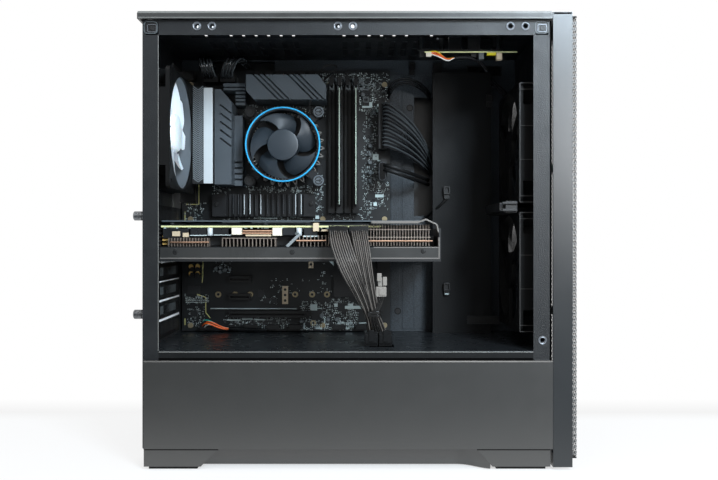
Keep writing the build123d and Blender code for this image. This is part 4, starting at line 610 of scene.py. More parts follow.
# painted highlights along the upper and lower rims of the top panel and the upper rim of the front panel
top_low, top_high = (np.array(corner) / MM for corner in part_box("top_panel"))
bezel_low, bezel_high = (np.array(corner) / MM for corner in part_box("front_bezel"))
top_rim_highlights = slabs(top_low[0] + 0.6, top_high[0] - 0.6, top_low[1] - 0.01, top_low[1] + 1.0,
                 (top_high[2] - 2.2, top_low[2] + 0.9), (top_high[2] - 0.3, top_low[2] + 1.6))
piece("top_rim", [(top_rim_highlights, painted_rim_highlight)])
bezel_rim_highlight = slabs(bezel_low[0] + 0.4, bezel_high[0] - 0.4, bezel_low[1], bezel_low[1] + 1.0,
                  bezel_high[2] - 2.4, bezel_high[2] - 0.3)
piece("bezel_rim", [(bezel_rim_highlight, bezel_highlight_paint)], body="front_panel", bevel=0.2)
# painted highlight along the rear column's edge beside the opening
column_edge_highlight = slabs(-190.0, -189.4, -100.2, -99.85, 114.5, 421.0)
piece("column_edge_highlight", [(column_edge_highlight, painted_rim_highlight)], bevel=0.1)

# woven front mesh: two families of slanting strands, bent round onto the sides
MESH_LOW, MESH_HIGH, MESH_FRONT = 11.8, 437.8, 214.95
MESH_BACK = MESH_FRONT - 4.3
MESH_SIDE = 103.9
PITCH = 5.6
STRAND = 1.1
foot_z = np.arange(MESH_LOW - 2 * MESH_SIDE, MESH_HIGH, PITCH)
low_z = np.clip(foot_z, MESH_LOW, None)
high_z = np.clip(foot_z + 2 * MESH_SIDE, None, MESH_HIGH)
long_enough = high_z - low_z > 1
strands = []
for sign, behind in ((1, 0), (-1, 0.12)):
    ends = [np.column_stack([np.full(len(foot_z), MESH_FRONT - behind), sign * (z - foot_z - MESH_SIDE), z])
            for z in (low_z, high_z)]
    strands.append(bars(*[end[long_enough] for end in ends], STRAND, 0.2, (1, 0, 0)))
side_z = np.arange(MESH_LOW + 3, MESH_HIGH - 6, PITCH)
side_strands = []
for side in (-MESH_SIDE, MESH_SIDE):
    for foot_up, tip_up in ((0, 3.6), (3.6, 0)):
        foot, tip = (np.column_stack([np.full(len(side_z), x), np.full(len(side_z), side), side_z + up])
                     for x, up in ((MESH_BACK, foot_up), (MESH_FRONT, tip_up)))
        side_strands.append(bars(foot, tip, 1.0, 0.5, (0, 1, 0)))
both_sides, both_ends = np.array([-MESH_SIDE, MESH_SIDE]), np.array([MESH_LOW, MESH_HIGH])
strands += [
    slabs(MESH_BACK - 0.1, MESH_BACK + 0.5, both_sides - 0.3, both_sides + 0.3, MESH_LOW, MESH_HIGH),
    slabs(MESH_BACK, MESH_FRONT, -MESH_SIDE, MESH_SIDE, both_ends - 0.4, both_ends + 0.4),
]
piece("front_mesh_weave", [(join(*strands), black_paint), (join(*side_strands), mesh_paint)],
      body="front_panel", replaced=["front_mesh"])
# fine net in the filter's frame
net_x, net_y = np.arange(-158, 89, 2.0), np.arange(-3, 70, 2.0)
net = join(
    bars([(x, -4, 436.9) for x in net_x], [(x, 70, 436.9) for x in net_x], STRAND, 0.3, (0, 0, 1)),
    bars([(-159, y, 437.15) for y in net_y], [(89, y, 437.15) for y in net_y], STRAND, 0.3, (0, 0, 1)),
)
piece("filter_net", [(net, black_plastic)], body="top_filter")

# board tray: raised skins either side of a seam, holes, cable clips and slot frames
TRAY, COVER = 80.0, 55.0  # the faces of the tray and of the cable cover
skin = slabs((42.5, 56.0, 69.6, 69.6), (53.4, 69.6, 101, 101), 79.3, 80.02, (117, 117, 117, 392), (417, 417, 249, 417))
piece("tray_skins", [(skin, tray_paint)], bevel=0.35)
holes = [(65.1, 378.1), (50.9, 138.0)]
piece("tray_holes", [
    (studs([(2.9, 0.75), (3.5, 0.95), (4.1, 0.75), (4.1, 0.4), (2.9, 0.4)], TRAY, holes, 24, closed=True), inner_paint),
    (studs([(0.2, 0.74), (2.95, 0.74), (2.95, 0.5), (0.2, 0.5)], TRAY, holes, 24), soft_black),
], smooth=True)
clip_body = join(
    extruded(rounded(6.2, 15, 1.2), 0, 3.2),
    frame_strip(7.4, 9.0, 1.0, 1.5, 3.2, 5.4, (0, 0, 2.5)),
)
piece("cable_clips", [
    (repeat(clip_body, [(67.7, TRAY, 424.0), (154.9, COVER, 382.5), (105.8, COVER, 276.5), (105.8, COVER, 165.5)]),
     soft_black),
    (extruded(rounded(10.5, 13, 0.8), 0, 6, (97.2, TRAY, 424)), soft_black),
    (slabs(103.4, 108.2, 50.6, 51.6, 159.2, 160.8), pale_parts),
], bevel=0.2)
slots = [frame_strip(40.5, 12.4, 1.0, 1.0, 0.0, 1.0, (153.1, TRAY, 421.6)),
         frame_strip(38, 9.6, 1.0, 0.8, 0.0, 0.8, (148.6, COVER, 129.8))]
slot_back = slabs(130.5, 167, 54.6, 54.95, 125.8, 133.6)
piece("cable_slot_frames", [(join(*slots), black_paint), (slot_back, soft_black)])
# strap from the middle clip back through the tray
lead("clip_strap", [(104.5, 50.5, 268), (97, 52.5, 260.5), (90, 60, 254.5), (84.5, 72, 249), (80, 84, 245)],
     1.5, soft_black, stiffness="stiff")

# slots pressed into the expansion covers, painted grey as lit, and white strips painting the highlights in the gaps
# between them
middles, ys = np.meshgrid(249.32 - 20.32 * np.arange(1, 6), np.arange(-38, 38, 5.4), indexing="ij")
painted_slot_light = slabs(-203.6, -203.1, ys, ys + 2.2, middles - 4.2, middles + 4.4)
gap_z, gap_half = np.array([(198.5, 0.9), (178.2, 0.5), (157.9, 1.0), (137.6, 1.2)]).T
gaps = slabs(-203.4, -202.9, -37, 57, gap_z - gap_half, gap_z + gap_half)
piece("cover_slots", [(painted_slot_light, grey_parts), (gaps, painted_light_white)])
# perforated strip under the roof's front row of vents, open only at each slot's middle
vents = [start + 12.95 * k for start, open_ones in ((-153.5, (0, 2, 3, 4, 5, 6, 7)), (-10.5, (0, 1, 2, 3, 4, 5, 7)))
         for k in open_ones]
strip = slabs([-170.0] + [x + 1.5 for x in vents], [x - 1.5 for x in vents] + [95.0], -52, -33.5, 433.7, 434.3)
piece("roof_strip", [(strip, inner_paint)])
# black strip painting the shade in the recess between the case and its front panel
recess_shade = slabs(190.1, 191.8, (-100.0, 98.4), (-98.4, 100.0), 20.6, 434.5)
piece("panel_recess_shade", [(recess_shade, painted_shade_black)], bevel=0.2)

# ---------------------------------------------------------------- mainboard
BOARD = 72.0  # the mainboard's face


def on_board(rows):
    """Boxes standing on the board, one per (x low, x high, z low, z high, height) row."""
    x0, x1, z0, z1, height = np.asarray(rows, float).T
    return slabs(x0, x1, BOARD - height, BOARD, z0, z1)


def small_parts(regions):
    """Rows of small soldered parts: each is a body and two shiny ends, laid on a grid of 1.3 mm steps."""
    bodies, ends = [], []
    for x0, x1, z0, z1, count in regions:
        x = x0 + np.round(rng.random(count) * (x1 - x0) / 1.3) * 1.3
        z = z0 + np.round(rng.random(count) * (z1 - z0) / 1.3) * 1.3
        size = rng.choice([0.9, 1.3, 1.9, 2.6], count, p=[0.35, 0.35, 0.2, 0.1])
        flat = rng.random(count) < 0.5
        half_x = np.where(flat, size, size * 0.5) / 2
        half_z = np.where(flat, size * 0.5, size) / 2
        cap_x = np.where(flat, size * 0.24, half_x)
        cap_z = np.where(flat, half_z, size * 0.24)
        height = 0.35 + 0.25 * size
        bodies.append(np.column_stack([x - half_x, x + half_x, z - half_z, z + half_z, height]))
        for sign in (-1, 1):
            cx = x + np.where(flat, sign * (half_x - cap_x / 2 + 0.05), 0)
            cz = z + np.where(flat, 0, sign * (half_z - cap_z / 2 + 0.05))
            rx, rz = np.where(flat, cap_x / 2, half_x + 0.03), np.where(flat, half_z + 0.03, cap_z / 2)
            ends.append(np.column_stack([cx - rx, cx + rx, cz - rz, cz + rz, height + 0.05]))
    return on_board(np.concatenate(bodies)), on_board(np.concatenate(ends))


bodies, ends = small_parts([
    (-199, -176, 243, 266, 60), (-167, -144, 268, 286, 40), (-155, -60, 245, 249.5, 60), (-52, -37, 246, 278, 90),
    (-165, -144, 184, 196, 30), (-110, -90, 147, 156, 24), (-199, -172, 146, 158, 60), (-196, -176, 120, 144, 60),
    (-153, -76, 122, 135, 170), (-64, 4, 117, 150, 420), (-30, -6, 150, 165, 36), (4, 24, 372, 418, 190),
    (8, 27, 290, 330, 120), (10, 40, 258, 290, 170), (10, 26, 330, 372, 90), (-40, -28, 402, 417, 60),
    (-28, 8, 402, 417, 130), (-132, -118, 366, 380, 60), (-46, -34, 366, 380, 30), (-120, -40, 370, 379, 80),
    (-128, -36, 278, 285, 110), (-160, -60, 198, 216, 60), (-100, -30, 160, 176, 40), (-40, 20, 176, 200, 40),
    (-46, -36, 286, 300, 30), (-142, -118, 286, 372, 60), (22, 40, 384, 418, 60), (-30, 20, 246, 260, 60),
])
piece("board_small_parts", [(bodies, dark_parts), (ends, bright_bits)])

chips = on_board([
    (-113.2, -106.2, 155.3, 163.5, 1.1), (-26.6, -19.6, 154.1, 162.3, 1.1), (-196, -181, 158.8, 168.1, 1.2),
    (-50, -38.5, 128, 142, 1.2), (-20, -8, 138, 148, 1.2), (-107, -100, 148, 154, 1.1), (-98.5, -92, 148, 154, 1.1),
    (12, 20, 345, 353, 1.2), (14, 24, 268, 276, 1.1), (-150, -139, 268, 276, 1.2), (-178, -168, 246, 256, 1.4),
    (-192, -184, 132, 140, 1.2), (-130, -120, 200, 208, 1.2), (9, 17, 392, 400, 3.0), (9, 17, 379, 387, 3.0),
])
chokes = on_board([(x, x + 5.6, 404.5, 410, 4.2) for x in (-27, -19, -11, -3, 5)] + [(-37, -30, 398, 404, 4)])
grey_rings = [frame_strip(6.8, 6.8, 0.8, 1.3, 0, 4.6, (x, BOARD, z))
              for x, z in ((13, 400.5), (13, 386), (-24, 408), (-14.5, 408), (-5, 408), (4.5, 408))]
silver = on_board([
    (-45.9, -41.8, 246.6, 250.6, 2.2), (8.5, 20.5, 377.0, 383.6, 1.2), (-11.5, 26, 141.4, 144.8, 1.6),
    (-24, -2, 143.6, 147.4, 1.0), (-52, -44, 139.5, 146.5, 1.5), (-46.5, -38.5, 141.5, 142.3, 2.4),
    (-168.3, -67.6, 141.5, 142.2, 5.0), (-109.7, -91.0, 246.9, 248.2, 0.25), (-75.8, -68.8, 248.3, 248.9, 0.25),
    (-150, -134, 127.4, 129.0, 1.2), (-132, -120, 128.6, 130.6, 1.4), (-118, -106, 128.0, 129.4, 1.4),
    (-60, -58.5, 117.4, 124.6, 0.4), (-59, -53, 117.4, 118.4, 0.4), (-46, -38, 117.6, 119.6, 1.5),
    (-14, -6, 117.6, 119.6, 1.5), (-36, -34.6, 119, 131, 1.0), (-20, -2, 124.2, 125.2, 0.6),
    (5, 26, 124.2, 125.2, 0.6), (24.5, 34.5, 371.8, 374.6, 6.0), (24.5, 34.5, 377.4, 380.4, 6.0),
    (24.5, 26.0, 371.8, 380.4, 6.0), (21, 28, 316, 322.6, 1.0), (20.5, 34, 272, 275.4, 1.0),
    (26.5, 35, 314.5, 315.6, 3.0), (22, 26, 262, 266, 2.0),
])
pins = []
for x0, z0, columns, rows in (
        (-49, 120.6, 5, 2), (-12, 120.6, 5, 2), (-196.5, 149.2, 9, 2), (-34, 120.6, 2, 2), (-150, 119.5, 5, 2),
        (-128, 119.5, 4, 2), (-108, 119.5, 5, 2), (-88, 119.5, 3, 2)):
    x, z = np.meshgrid(x0 + np.arange(columns) * 2.54, z0 + np.arange(rows) * 2.54)
    pins.append(slabs(x - 0.35, x + 0.35, BOARD - 7.5, BOARD, z - 0.35, z + 0.35))
lines = [
    bars([(x, BOARD - 0.1, z) for x, z in corners[:-1]], [(x, BOARD - 0.1, z) for x, z in corners[1:]], 0.9, 0.2)
    for corners in ([(-182.8, 287), (-182.8, 263.8), (-197.9, 263.8)], [(-199.1, 255.2), (-199.1, 244.9)],
                    [(-178.1, 204), (-178.1, 180.6), (-179, 172)],
                    [(-185, 158.3), (-174.7, 154.8), (-174.7, 136.8), (-169.6, 130.8)],
                    [(-199.1, 130), (-199.1, 122.3)])
]
piece("board_parts", [
    (chips, dark_parts), (chokes, grey_parts), (join(*grey_rings), grey_parts), (silver, pale_parts),
    (join(*pins), bright_bits), (join(*lines), yellow_line),
])

audio = [(-190.5, 191.2), (-182.7, 191.2), (-190.5, 182.8), (-182.7, 182.8)]
small_drums = [
    (-162, 188.4), (-156.5, 190), (-151.2, 187.2), (-146, 188), (-157, 185), (9.6, 391.5), (8, 398), (22.5, 371),
    (18, 332), (18, 322), (18, 312.5), (18.5, 300.5), (18.5, 291), (9.5, 404), (-31, 129), (-38.5, 133.5),
    (-62, 127), (-20.5, 129),
]
piece("board_drums", [
    (studs([(0.3, 8.0), (2.9, 8.0), (3.5, 7.4), (3.7, 6.6), (3.7, 0.0)], BOARD, audio), dark_parts),
    (studs([(0.3, 8.2), (2.6, 8.2), (2.9, 7.9), (0.3, 7.9)], BOARD, audio), gold),
    (studs([(0.2, 6.2), (1.9, 6.2), (2.4, 5.6), (2.4, 0)], BOARD, small_drums, 16), grey_parts),
], smooth=True)
pads = [(x, 158.2) for x in (-160.1, -140.2, -122.6, -69.9, -50.0, -32.5)]
pads += [(-48.7, 124.7), (-163.2, 264.2), (-30, 404)]
sink_screws = [(-160.5, 263.5), (-50.5, 263.8)]
pad_ring = [(1.5, 0.1), (1.9, 0.9), (3.2, 0.9), (3.7, 0.35), (3.7, 0.0), (1.5, 0.0)]
piece("board_pads", [
    (studs(pad_ring, BOARD, pads, 22, closed=True), brass),
    (studs([(0.2, 0.8), (1.4, 0.8), (1.5, 0.3), (0.2, 0.3)], BOARD, pads, 16), dark_parts),
    (studs([(0.3, 13.4), (2.4, 13.2), (2.8, 12.4), (2.8, 11.5)], BOARD, sink_screws, 22), dark_screw),
], smooth=True)
clip_holes = [(-81.5, 164), (-81.5, 157.6), (-81.5, 151.2), (-51.2, 193.5)]
piece("board_clips", [
    (on_board([(-84.9, -78.1, 147.1, 168.1, 2.4), (-54.1, -48.3, 188.8, 214, 2.4)]), beige_plastic),
    (studs([(0.2, 2.6), (1.6, 2.6), (1.6, 2.2), (0.2, 2.2)], BOARD, clip_holes, 14), dark_parts),
    (bars([(-28.5, 69, 198.5)], [(-20.5, 69, 190)], 3.6, 3.0), pale_parts),
], bevel=0.3)


def cover_ribs(middles, width):
    """Upright ribs of one width on the drive cover."""
    return slabs(middles - width / 2, middles + width / 2, 58.6, 60.6, 251.8, 274.9)


# ribs of the drive cover, some of them polished
polished = np.array([-127.8, -121.1, -108.7, -68.4, -61.9])
faint = np.array([-140.5, -134.6, -114.6, -100.7, -94.7, -88.9, -82.6, -76.0])
piece("drive_cover_ribs", [(cover_ribs(polished, 0.9), silver_paint), (cover_ribs(faint, 0.5), rib_finish)],
      bevel=0.15)
# cover over the rear ports: herringbone ribs, and a plain silver strip beside it
rib_foot = np.array([(-172.2, 11.7, z) for z in np.arange(286, 388, 2.3)])
herringbone = join(*[bars(rib_foot, rib_foot + (over, 0, 4.4), 1.1, 0.7) for over in (-5.8, 5.4)])
piece("port_cover_ribs", [(herringbone, pale_rib)])
port_strip = slabs(-166.2, -156.2, 10.9, 12.4, 284.2, 389.8)
piece("port_cover_strip", [(port_strip, silver_paint)], bevel=0.5)

# ---------------------------------------------------------------- memory
for number, x in enumerate((-17.3, 1.5), start=1):
    edge = slabs(x - 0.45, x + 0.45, 35.2, 36.0, 262.5, 393.9)
    piece(f"module_edge_{number}", [(edge, module_edge)])
latch = join(
    slabs((-2.9, -2.6, 1.2), (2.9, -1.2, 2.6), (60.5, 58.8, 58.8), 66.2, (-4.2, -3.0, -3.0), (-1.8, 3.6, 3.6)),
    extruded(rounded(5.2, 5.0, 0.8), 0, 2.2, (0, 60.6, 2.2)),
)
latches = repeat(latch, [(x, 0, 400.4) for x in (-26.7, -17.3, -7.9, 1.5)])
piece("latch_lips", [(latches, grey_parts)], body="dimm_latches", bevel=0.25)

# ---------------------------------------------------------------- processor cooler
COOLER = (-80.0, BOARD, 328.5)
BLADES = (COOLER[0], BOARD - 39, COOLER[2])
# each fin forks outwards: radii, and how many degrees its two branches stand from its middle
fin_r = np.array([15, 20, 25, 29, 33, 37, 41, 43.5, 45.3])
fork = np.array([0, 0, 0, 0.6, 1.6, 2.6, 3.4, 4.6, 6.4])
branches = []
for sign in (1, -1):
    angle = np.radians(sign * fork + 1.2)
    half = 0.42 / fin_r
    sections = [np.stack([fin_r * np.cos(angle + s * half), -h + 0 * fin_r, fin_r * np.sin(angle + s * half)], -1)
                for s, h in ((-1, 8.5), (1, 8.5), (1, 25.0), (-1, 25.0))]
    branches.append(capped(np.stack(sections, 1) + np.array(COOLER)))
fins = spun(join(*branches), 30, COOLER, "board", 3)
core = turned([(0.5, 24.6), (14.6, 24.6), (15.2, 24.0), (15.2, 7.05), (0.5, 7.05)], COOLER, "board")
# painted shade: a thin black ring over the fins inside the fan's ring, where they lie in shade
fins_painted_shade = turned([(36.5, 25.15), (16.0, 25.15), (16.0, 25.0), (36.5, 25.0)], COOLER, "board", 60, closed=True)
piece("cooler_fins", [(join(fins, core), bare_aluminium), (fins_painted_shade, soft_black)],
      replaced=["cpu_heatsink"])
cooler_blade = blade([17.6, 23, 31, 38.0], [52, 54, 61, 73], [52, 56, 60, 62], [13, 12, 11, 10], BLADES, "board",
                     thick=1.3, camber=0.13, tuck=2.8)
cooler_hub = turned([(0.4, 49.0), (15.8, 48.9), (17.1, 48.5), (17.5, 47.8), (17.5, 46.4), (17.5, 28.6), (15.9, 28.4),
                     (15.9, 45.5), (1.55, 45.5), (1.55, 28.5), (1.5, 28.5), (1.5, 46), (0.4, 46)], COOLER, "board", 48)
piece("cooler_rotor", [(join(spun(cooler_blade, 5, BLADES, "board"), cooler_hub), cooler_fan_plastic)],
      body="cpu_fan", smooth=True, replaced=["cpu_fan_rotor"])
rear_pins, front_pins = ([(COOLER[0] + across, COOLER[2] + up) for up in (-39, 39)] for across in (-39, 39))
pin_top = [(0.5, 32.5), (3.2, 32.5), (3.5, 31.9), (4.3, 31.9), (4.7, 32.9), (5.6, 32.9), (6.2, 32.2), (6.2, 31.6),
           (0.5, 31.6)]
pin_slot = slabs((-2.9, 1.2), (2.9, 2.4), (BOARD - 33.0, BOARD - 33.1), BOARD - 32.3, (-0.5, -1.8), (0.5, 1.8))
piece("pin_heads_front", [
    (studs(pin_top, BOARD, front_pins, 28), pin_plastic),
    (repeat(pin_slot, [(x, 0, z) for x, z in front_pins]), dark_parts),
])
piece("pin_heads_rear", [(studs(pin_top, BOARD, rear_pins, 28), dark_screw)], smooth=True)

# cooler fan lead with its spare length tied in a loop beside the memory
fan_lead = [(-50.5, 40, 365.5), (-51.5, 38, 371), (-50.5, 36, 377.5), (-47.2, 34.5, 386), (-42, 34, 394.5),
            (-36, 35, 401.5), (-30.5, 38, 407), (-26.5, 42, 411), (-25.0, 47, 413.5), (-25.4, 52, 414.4),
            (-26.5, 57, 414.6)]
cable("cooler_fan_lead", fan_lead, 2, 0.55, 1.9, (1, 0, 0), [(0, 1.0)], [(0, 0.35)], soft_black,
      stiffness="limp", lay="loose")
loop_route = [(-29 + 9.5 * math.cos(a), 46 - 0.5 * a, 417.2 + 4.3 * math.sin(a) + 1.5 * math.cos(a))
              for a in np.linspace(0.15, 2 * math.pi * 1.35, 15)]
cable("cooler_lead_loop", loop_route, 2, 0.5, 1.8, (0, 1, 0), [(0, 0.9)], [(0, 0.3)], soft_black,
      stiffness="limp", lay="coiled")

# ---------------------------------------------------------------- graphics card
CARD_FACE, SHROUD = -45.0, -55.0  # the faces of the card's fins and of its shroud


def fin_rows(x0, x1, step, z0, z1, face=CARD_FACE):
    """Upright plates across the card, one every step millimetres."""
    x = np.arange(x0, x1, step)
    return slabs(x, x + 0.7, face, 50, z0, z1)


card_fins = join(
    fin_rows(-192.5, -150.5, 3.1, 215.2, 224.2), fin_rows(-136.8, -80.5, 3.9, 215.2, 224.0),
    fin_rows(-57, -27, 3.9, 215.2, 227.0), fin_rows(-27, 8, 3.2, 215.2, 226, face=-40),
    fin_rows(8, 79, 3.0, 215.8, 238.0),
    blocks([(-136.8, -80.5, CARD_FACE, 50, 223.4, 224.2), (8, 79, CARD_FACE - 0.3, -43, 232.4, 233.2),
            (8, 79, CARD_FACE - 0.3, -43, 224.4, 225.2)]),
)
pipes = join(*[
    leads(np.linspace((x0, y, z), (x1, y, z), 5), np.zeros((1, 5)), np.zeros((1, 5)), 0.9, (0, 0, 1))
    for x0, x1, y, z in ((-190, -150, -45.6, 219.6), (-60, -29, -45.6, 221.2), (9, 81, -45.6, 220.9),
                         (-116, -84, -39, 231.5), (-118, -84, -39, 229.0))
])
fin_shade = slabs(-196, 84, -30, 52, 216.0, 226.5)
piece("card_fins", [(card_fins, fin_metal), (pipes, copper), (fin_shade, soft_black)],
      replaced=["gpu_fin_stack"])
white_body = blocks([(-127.2, -116.8, -43, -36, 227.4, 234.8), (-84.8, -75.0, -43, -36, 226.4, 234.8)])
piece("card_connectors", [(white_body, white_plastic)], bevel=0.4)
dark_cubes = blocks([
    (-170, -153.5, -42, -30, 227.2, 234.4), (-74, -61.5, -41, -30, 227.0, 234.6), (-52, -38.5, -42, -30, 226.6, 234.8),
    (-146, -131, -40, -30, 228, 234.4), (-199, -172, -40, -28, 224, 234),
])
silver_cube = blocks([(-170.5, -153, -42.3, -30, 226.4, 227.2), (-53, -38, -42.3, -30, 225.2, 226.5),
                      (-146, -128, -41, -35, 226.8, 227.6)])
tan_bits = blocks([(-113, -86, -40, -33, 226.0, 227.6), (-189, -181, -42, -36, 226, 231),
                   (-178, -172, -42, -36, 225, 229.5), (-34, -27.5, -42, -36, 231.0, 233.0)])
edge_strip = slabs(-201, 28, -40.25, -39.9, 235.2, 236.9)
solder_x, solder_y, solder_length = (rng.uniform(low, high, 90) for low, high in ((-198, 20), (-40, -34), (0.6, 2.4)))
solder = slabs(solder_x, solder_x + solder_length, solder_y, solder_y + 1.0, 234.0, 235.0)
piece("card_parts", [(dark_cubes, dark_parts), (silver_cube, bright_bits), (tan_bits, beige_plastic),
                     (edge_strip, pcb_edge), (solder, pale_parts)])
card_drum = turned([(0.2, -4.0), (2.6, -4.0), (2.9, -3.6), (2.9, 3.6), (2.6, 4.0), (0.2, 4.0)], (0, 0, 0), sides=20)
card_drums = repeat(card_drum, [(-150.0, -40, 230.6), (-57.3, -40, 230.4)])
piece("card_drums", [(card_drums, silver_paint)], smooth=True)
# bright rail round the card's far end, over the shroud's end and back along its lower edge
rail_turns = [(17.5, 240.3), (66, 240.3), (73.5, 243.2), (84.6, 238.0), (86.6, 229.8)]
rail = join(*[bars([(x0, -50.5, z0)], [(x1, -50.5, z1)], thick, 9.0)
              for (x0, z0), (x1, z1), thick in zip(rail_turns, rail_turns[1:], (2.6, 1.8, 1.5, 1.5))])
end_frame = blocks([(86.2, 87.6, -55.6, -46, 204.0, 224.8), (-198.8, 87.6, -55.5, -54.4, 202.6, 203.9),
                    (20, 87.4, -55.45, -54.4, 214.0, 214.9)])
piece("card_rail", [(join(rail, end_frame), rail_paint)], bevel=0.2)
strut = bars([(-69.5, -49, 214.8), (-57.5, -45, 227.6)], [(-56.5, -44, 228.0), (-60.5, -43, 229.0)], 3.2, 2.4)
piece("card_strut", [(strut, grey_parts)], bevel=0.3)
shroud_screw = [(0.4, 1.0), (0.9, 0.4), (1.3, 1.1), (2.3, 1.0), (2.7, 0.5), (2.7, -0.2), (0.4, -0.2)]
shroud_screws = studs(shroud_screw, SHROUD, [(-183, 209.6), (-63.4, 209.6), (70.6, 210.5)])
piece("card_screws", [(shroud_screws, dark_screw)], smooth=True)
band = extruded([(-198.5, 203.9), (86.0, 203.9), (86.0, 213.9), (-198.5, 213.9)], 0.05, 0.6, centre=(0, SHROUD, 0))
piece("card_band", [(band, top_paint)], bevel=0.2)
hole_y, hole_z = np.meshgrid(np.arange(-44, 40, 5.0), np.arange(207, 233, 4.2))
bracket_holes = slabs(-202.2, -201.5, hole_y, hole_y + 3.0, hole_z, hole_z + 2.4)
gold_ends = slabs(-200, -194, -38, -30, (225, 221, 217), (227, 223, 219))
piece("card_bracket_detail", [(bracket_holes, soft_black), (gold_ends, gold)])
plate_lines = blocks([(-136, -118, -47.6, -46.9, 239.7, 240.1), (-106, -45, -47.6, -46.9, 239.6, 240.0)])
plate_tab = slabs(-42.5, -36.5, -46, -40, 231, 239.6)
piece("card_plate_lines", [(plate_lines, grey_parts), (plate_tab, beige_plastic)], bevel=0.2)

# ---------------------------------------------------------------- fans
FAN_RADII = [18.5, 30, 44, 56.0]
REAR_FAN = (-191.0, -38.5, 333.0)
rear_blade = blade(FAN_RADII, [4, 12, 24, 44], [38, 38, 34, 20], [-10, -11, -11, -7], REAR_FAN, "x",
                   thick=1.5, camber=-0.12, tuck=1.0)
rear_hub = turned([(0.4, 9.0), (14, 8.8), (18.2, 7.6), (19.8, 5.2), (20.0, -8.4), (1.55, -8.4), (1.5, 8.0), (0.4, 8.0)],
                  REAR_FAN, "x", 44)
piece("rear_rotor", [(join(spun(rear_blade, 9, REAR_FAN, "x"), rear_hub), frosted_plastic)],
      body="rear_fan", smooth=True, replaced=["rear_fan_rotor"])
liner_wall = [(57.2, -10.5), (57.2, 10.5), (57.55, 10.5), (57.55, -10.5)]
liner = turned(liner_wall, (-191.5, -38.5, 333.0), "x", 60, closed=True)
piece("rear_fan_liner", [(liner, liner_grey)], smooth=True)
front_fans = {"upper": 318.9, "lower": 190.2}
front_hub_line = [(0.4, 8.6), (14, 8.6), (18.2, 7.6), (19.8, 5.2), (20.0, -8.0), (1.55, -8.0), (1.5, 8.4), (0.4, 8.4)]
trim = []
for which, height in front_fans.items():
    centre = (176.5, -20.0, height)
    front_blade = blade(FAN_RADII, [0, 4, 12, 26], [34, 34, 35, 36], [-15, -16, -15, -13], centre, "x", camber=-0.1)
    front_hub = turned(front_hub_line, centre, "x", 44)
    piece(f"front_fan_{which}_rotor", [(join(spun(front_blade, 9, centre, "x"), front_hub), glossy_fan)],
          body=f"front_fan_{which}", smooth=True, replaced=[f"front_fan_rotor_{which}"])
    edges = height + np.array([-53, -16.8, 16.8, 53])
    trim += [slabs(164.6, 188.4, -80.75, -80.2, edges - 0.35, edges + 0.35),
             frame_strip(24.4, 119.0, 1.0, 0.8, 0.2, 0.7, (176.6, -80.0, height))]
piece("fan_frame_trim", [(join(*trim), fan_trim)])
bracket = blocks([(151, 163.4, -76, 40, 249.2, 261.0), (146, 151, -70, 20, 251, 259.4),
                  (147.5, 163.0, -78, -76, 250.4, 253.2), (147.5, 163.0, -78, -76, 257.4, 260.0)])
piece("fan_bracket", [(bracket, soft_black)], bevel=0.6)

# ---------------------------------------------------------------- front sockets' board
piece("front_board_parts", [
    (slabs(72.9, 168.5, -45.2, -44.4, 415.9, 417.2), pcb_edge),
    (slabs(137.5, 146.8, -46, -40, 413.6, 415.9), yellow_plastic),
    (slabs(147.2, 153, -46, -40, 408.4, 415.4), beige_plastic),
    (slabs(129, 134.3, -45, -40, 409, 415.6), grey_parts),
    (blocks([(74.5, 80, -45, -41, 412.2, 416.2), (81, 84.4, -45, -41, 413.6, 416.2)]), white_plastic),
], bevel=0.3)

# ---------------------------------------------------------------- table, backdrop and light
def seen_white(tree):
    """1 for what the camera, a mirror or a glass shows, and 0 for the light that reaches a matt surface."""
    total = add(tree, "LightPath", result="Is Camera Ray")
    for kind in ("Is Glossy Ray", "Is Transmission Ray"):
        total = add(tree, "Math", {0: total, 1: add(tree, "LightPath", result=kind)}, operation="MAXIMUM")
    return total


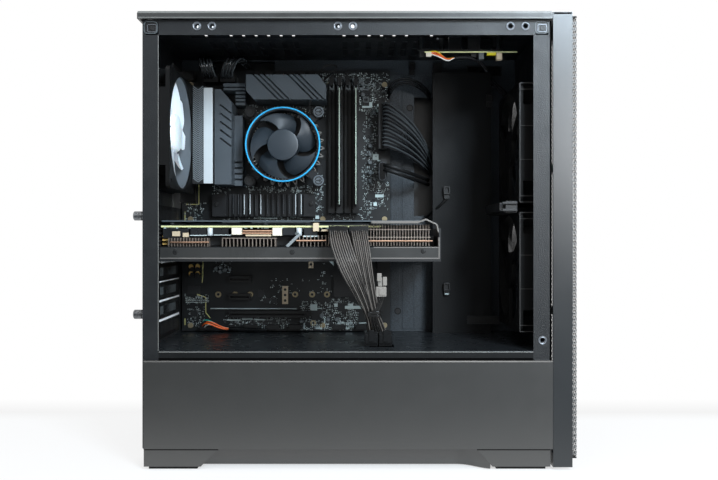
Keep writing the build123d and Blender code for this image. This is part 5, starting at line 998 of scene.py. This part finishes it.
def table_white():
    """White table: most of its near part's white is its own, the rest is lit and takes the shadow. Past the
    wall's foot it shows the wall, with a painted shade that makes it a little darker at the foot."""
    material = bpy.data.materials.new("table_white")
    material.use_nodes = True
    tree = material.node_tree
    shader = tree.nodes["Principled BSDF"]
    wire(tree, shader, {"Base Color": (0.86, 0.88, 0.9, 1), "Roughness": 0.6})
    place = add(tree, "TexCoord", result="Object")

    def ramp(low, high, stops, axis="Y"):
        """Tones at (share, tone) stops between two places along an axis, in metres."""
        run = add(tree, "MapRange", {
            "From Min": low, "From Max": high, "Value": add(tree, "SeparateXYZ", {"Vector": place}, axis),
        })
        tones = add(tree, "ValToRGB", {"Fac": run}, "Color")
        marks = tones.node.color_ramp.elements
        while len(marks) < len(stops):
            marks.new(0.5)
        for mark, (share, tone) in zip(marks, stops):
            mark.position = share
            mark.color = (tone, tone, tone, 1)
        return tones

    # painted shade: where the case stands less of the white is the table's own, so the floor is darker there and more
    # of it is lit and takes the shadow
    beside = ramp(-0.22, 0.22, [(0.0, 1.0), (0.1, 0.0), (0.9, 0.0), (1.0, 1.0)], "X")
    around = ramp(-0.12, 0.16, [(0.0, 1.0), (0.12, 0.0), (0.8, 0.0), (1.0, 1.0)])
    clear = add(tree, "Math", {0: beside, 1: around}, operation="MAXIMUM")
    floor_share_with_painted_shade = add(tree, "Mix", {"A": 0.62, "B": 1.0, "Factor": clear}, "Result")
    own = add(tree, "Math", {0: ramp(0.12, 0.17, [(0.0, 0.84), (1.0, 1.0)]), 1: floor_share_with_painted_shade}, operation="MULTIPLY")
    seen = add(tree, "Math", {0: own, 1: seen_white(tree)}, operation="MULTIPLY")
    # the table's near end is dim where a glossy surface mirrors it
    near = ramp(-0.45, -0.14, [(0.0, 0.05), (1.0, 1.0)])
    level = add(tree, "Math", {0: add(tree, "LightPath", result="Is Camera Ray"), 1: near}, operation="MAXIMUM")
    # painted shade: the wall's white is a little darker just above its foot
    glow = add(tree, "Emission", {"Color": ramp(0.12, 0.26, [(0.0, 1.0), (0.36, 0.9), (1.0, 1.0)]), "Strength": level})
    both = add(tree, "MixShader", {"Fac": seen, 1: shader.outputs["BSDF"], 2: glow})
    wire(tree, tree.nodes["Material Output"], {"Surface": both})
    return material


reach = 3000.0
table = bare_object("table", *grid(np.array([[[-reach, y, 0], [reach, y, 0]] for y in (-reach, reach)])))
table.data.materials.append(table_white())

world = bpy.data.worlds.new("studio")
world.use_nodes = True
bpy.context.scene.world = world
studio = world.node_tree
wire(studio, studio.nodes["Background"], {"Color": (0.96, 0.98, 1.0, 1), "Strength": 0.3})
# the side of the studio towards -Y is dim where a glossy surface mirrors it
towards = add(studio, "SeparateXYZ", {"Vector": add(studio, "TexCoord", result="Generated")}, "Y")
dim_side = add(studio, "MapRange", {"From Min": -0.5, "From Max": 0.1, "To Min": 0.3, "To Max": 1.0, "Value": towards})
mirrored = add(studio, "LightPath", result="Is Glossy Ray")
room_level = add(studio, "Mix", {"Factor": mirrored, "A": 1.0, "B": dim_side}, "Result")
wall = add(studio, "Background", {"Color": (1, 1, 1, 1), "Strength": room_level})
wire(studio, studio.nodes["World Output"], {"Surface": add(studio, "MixShader", {
    "Fac": seen_white(studio), 1: studio.nodes["Background"].outputs["Background"], 2: wall,
})})


def lamp(name, place, aim, size, power, tone=(1, 1, 1)):
    """Square soft light at a place, turned to face an aim point; metres and watts."""
    data = bpy.data.lights.new(name, "AREA")
    data.shape = "SQUARE"
    data.size = size
    data.energy = power
    data.color = tone
    made = bpy.data.objects.new(name, data)
    made.location = place
    x, y, z = np.array(aim, float) - np.array(place, float)
    made.rotation_euler = (math.atan2(math.hypot(x, y), -z), 0, math.atan2(y, x) - math.pi / 2)
    bpy.context.scene.collection.objects.link(made)


lamp("key", (0.69, -1.25, 0.47), (0, 0, 0.24), 0.25, 7, (0.96, 0.98, 1.0))
lamp("window", (0.61, -1.3, 1.0), (0.1, 0, 0.3), 0.4, 27, (0.74, 0.88, 1.0))
lamp("fill", (-0.9, -1.3, 1.1), (0, 0, 0.2), 1.0, 3, (0.96, 0.98, 1.0))
lamp("overhead", (0.1, -0.8, 1.7), (0.1, -0.55, 0), 1.0, 15)
bpy.context.scene.view_settings.view_transform = "Standard"
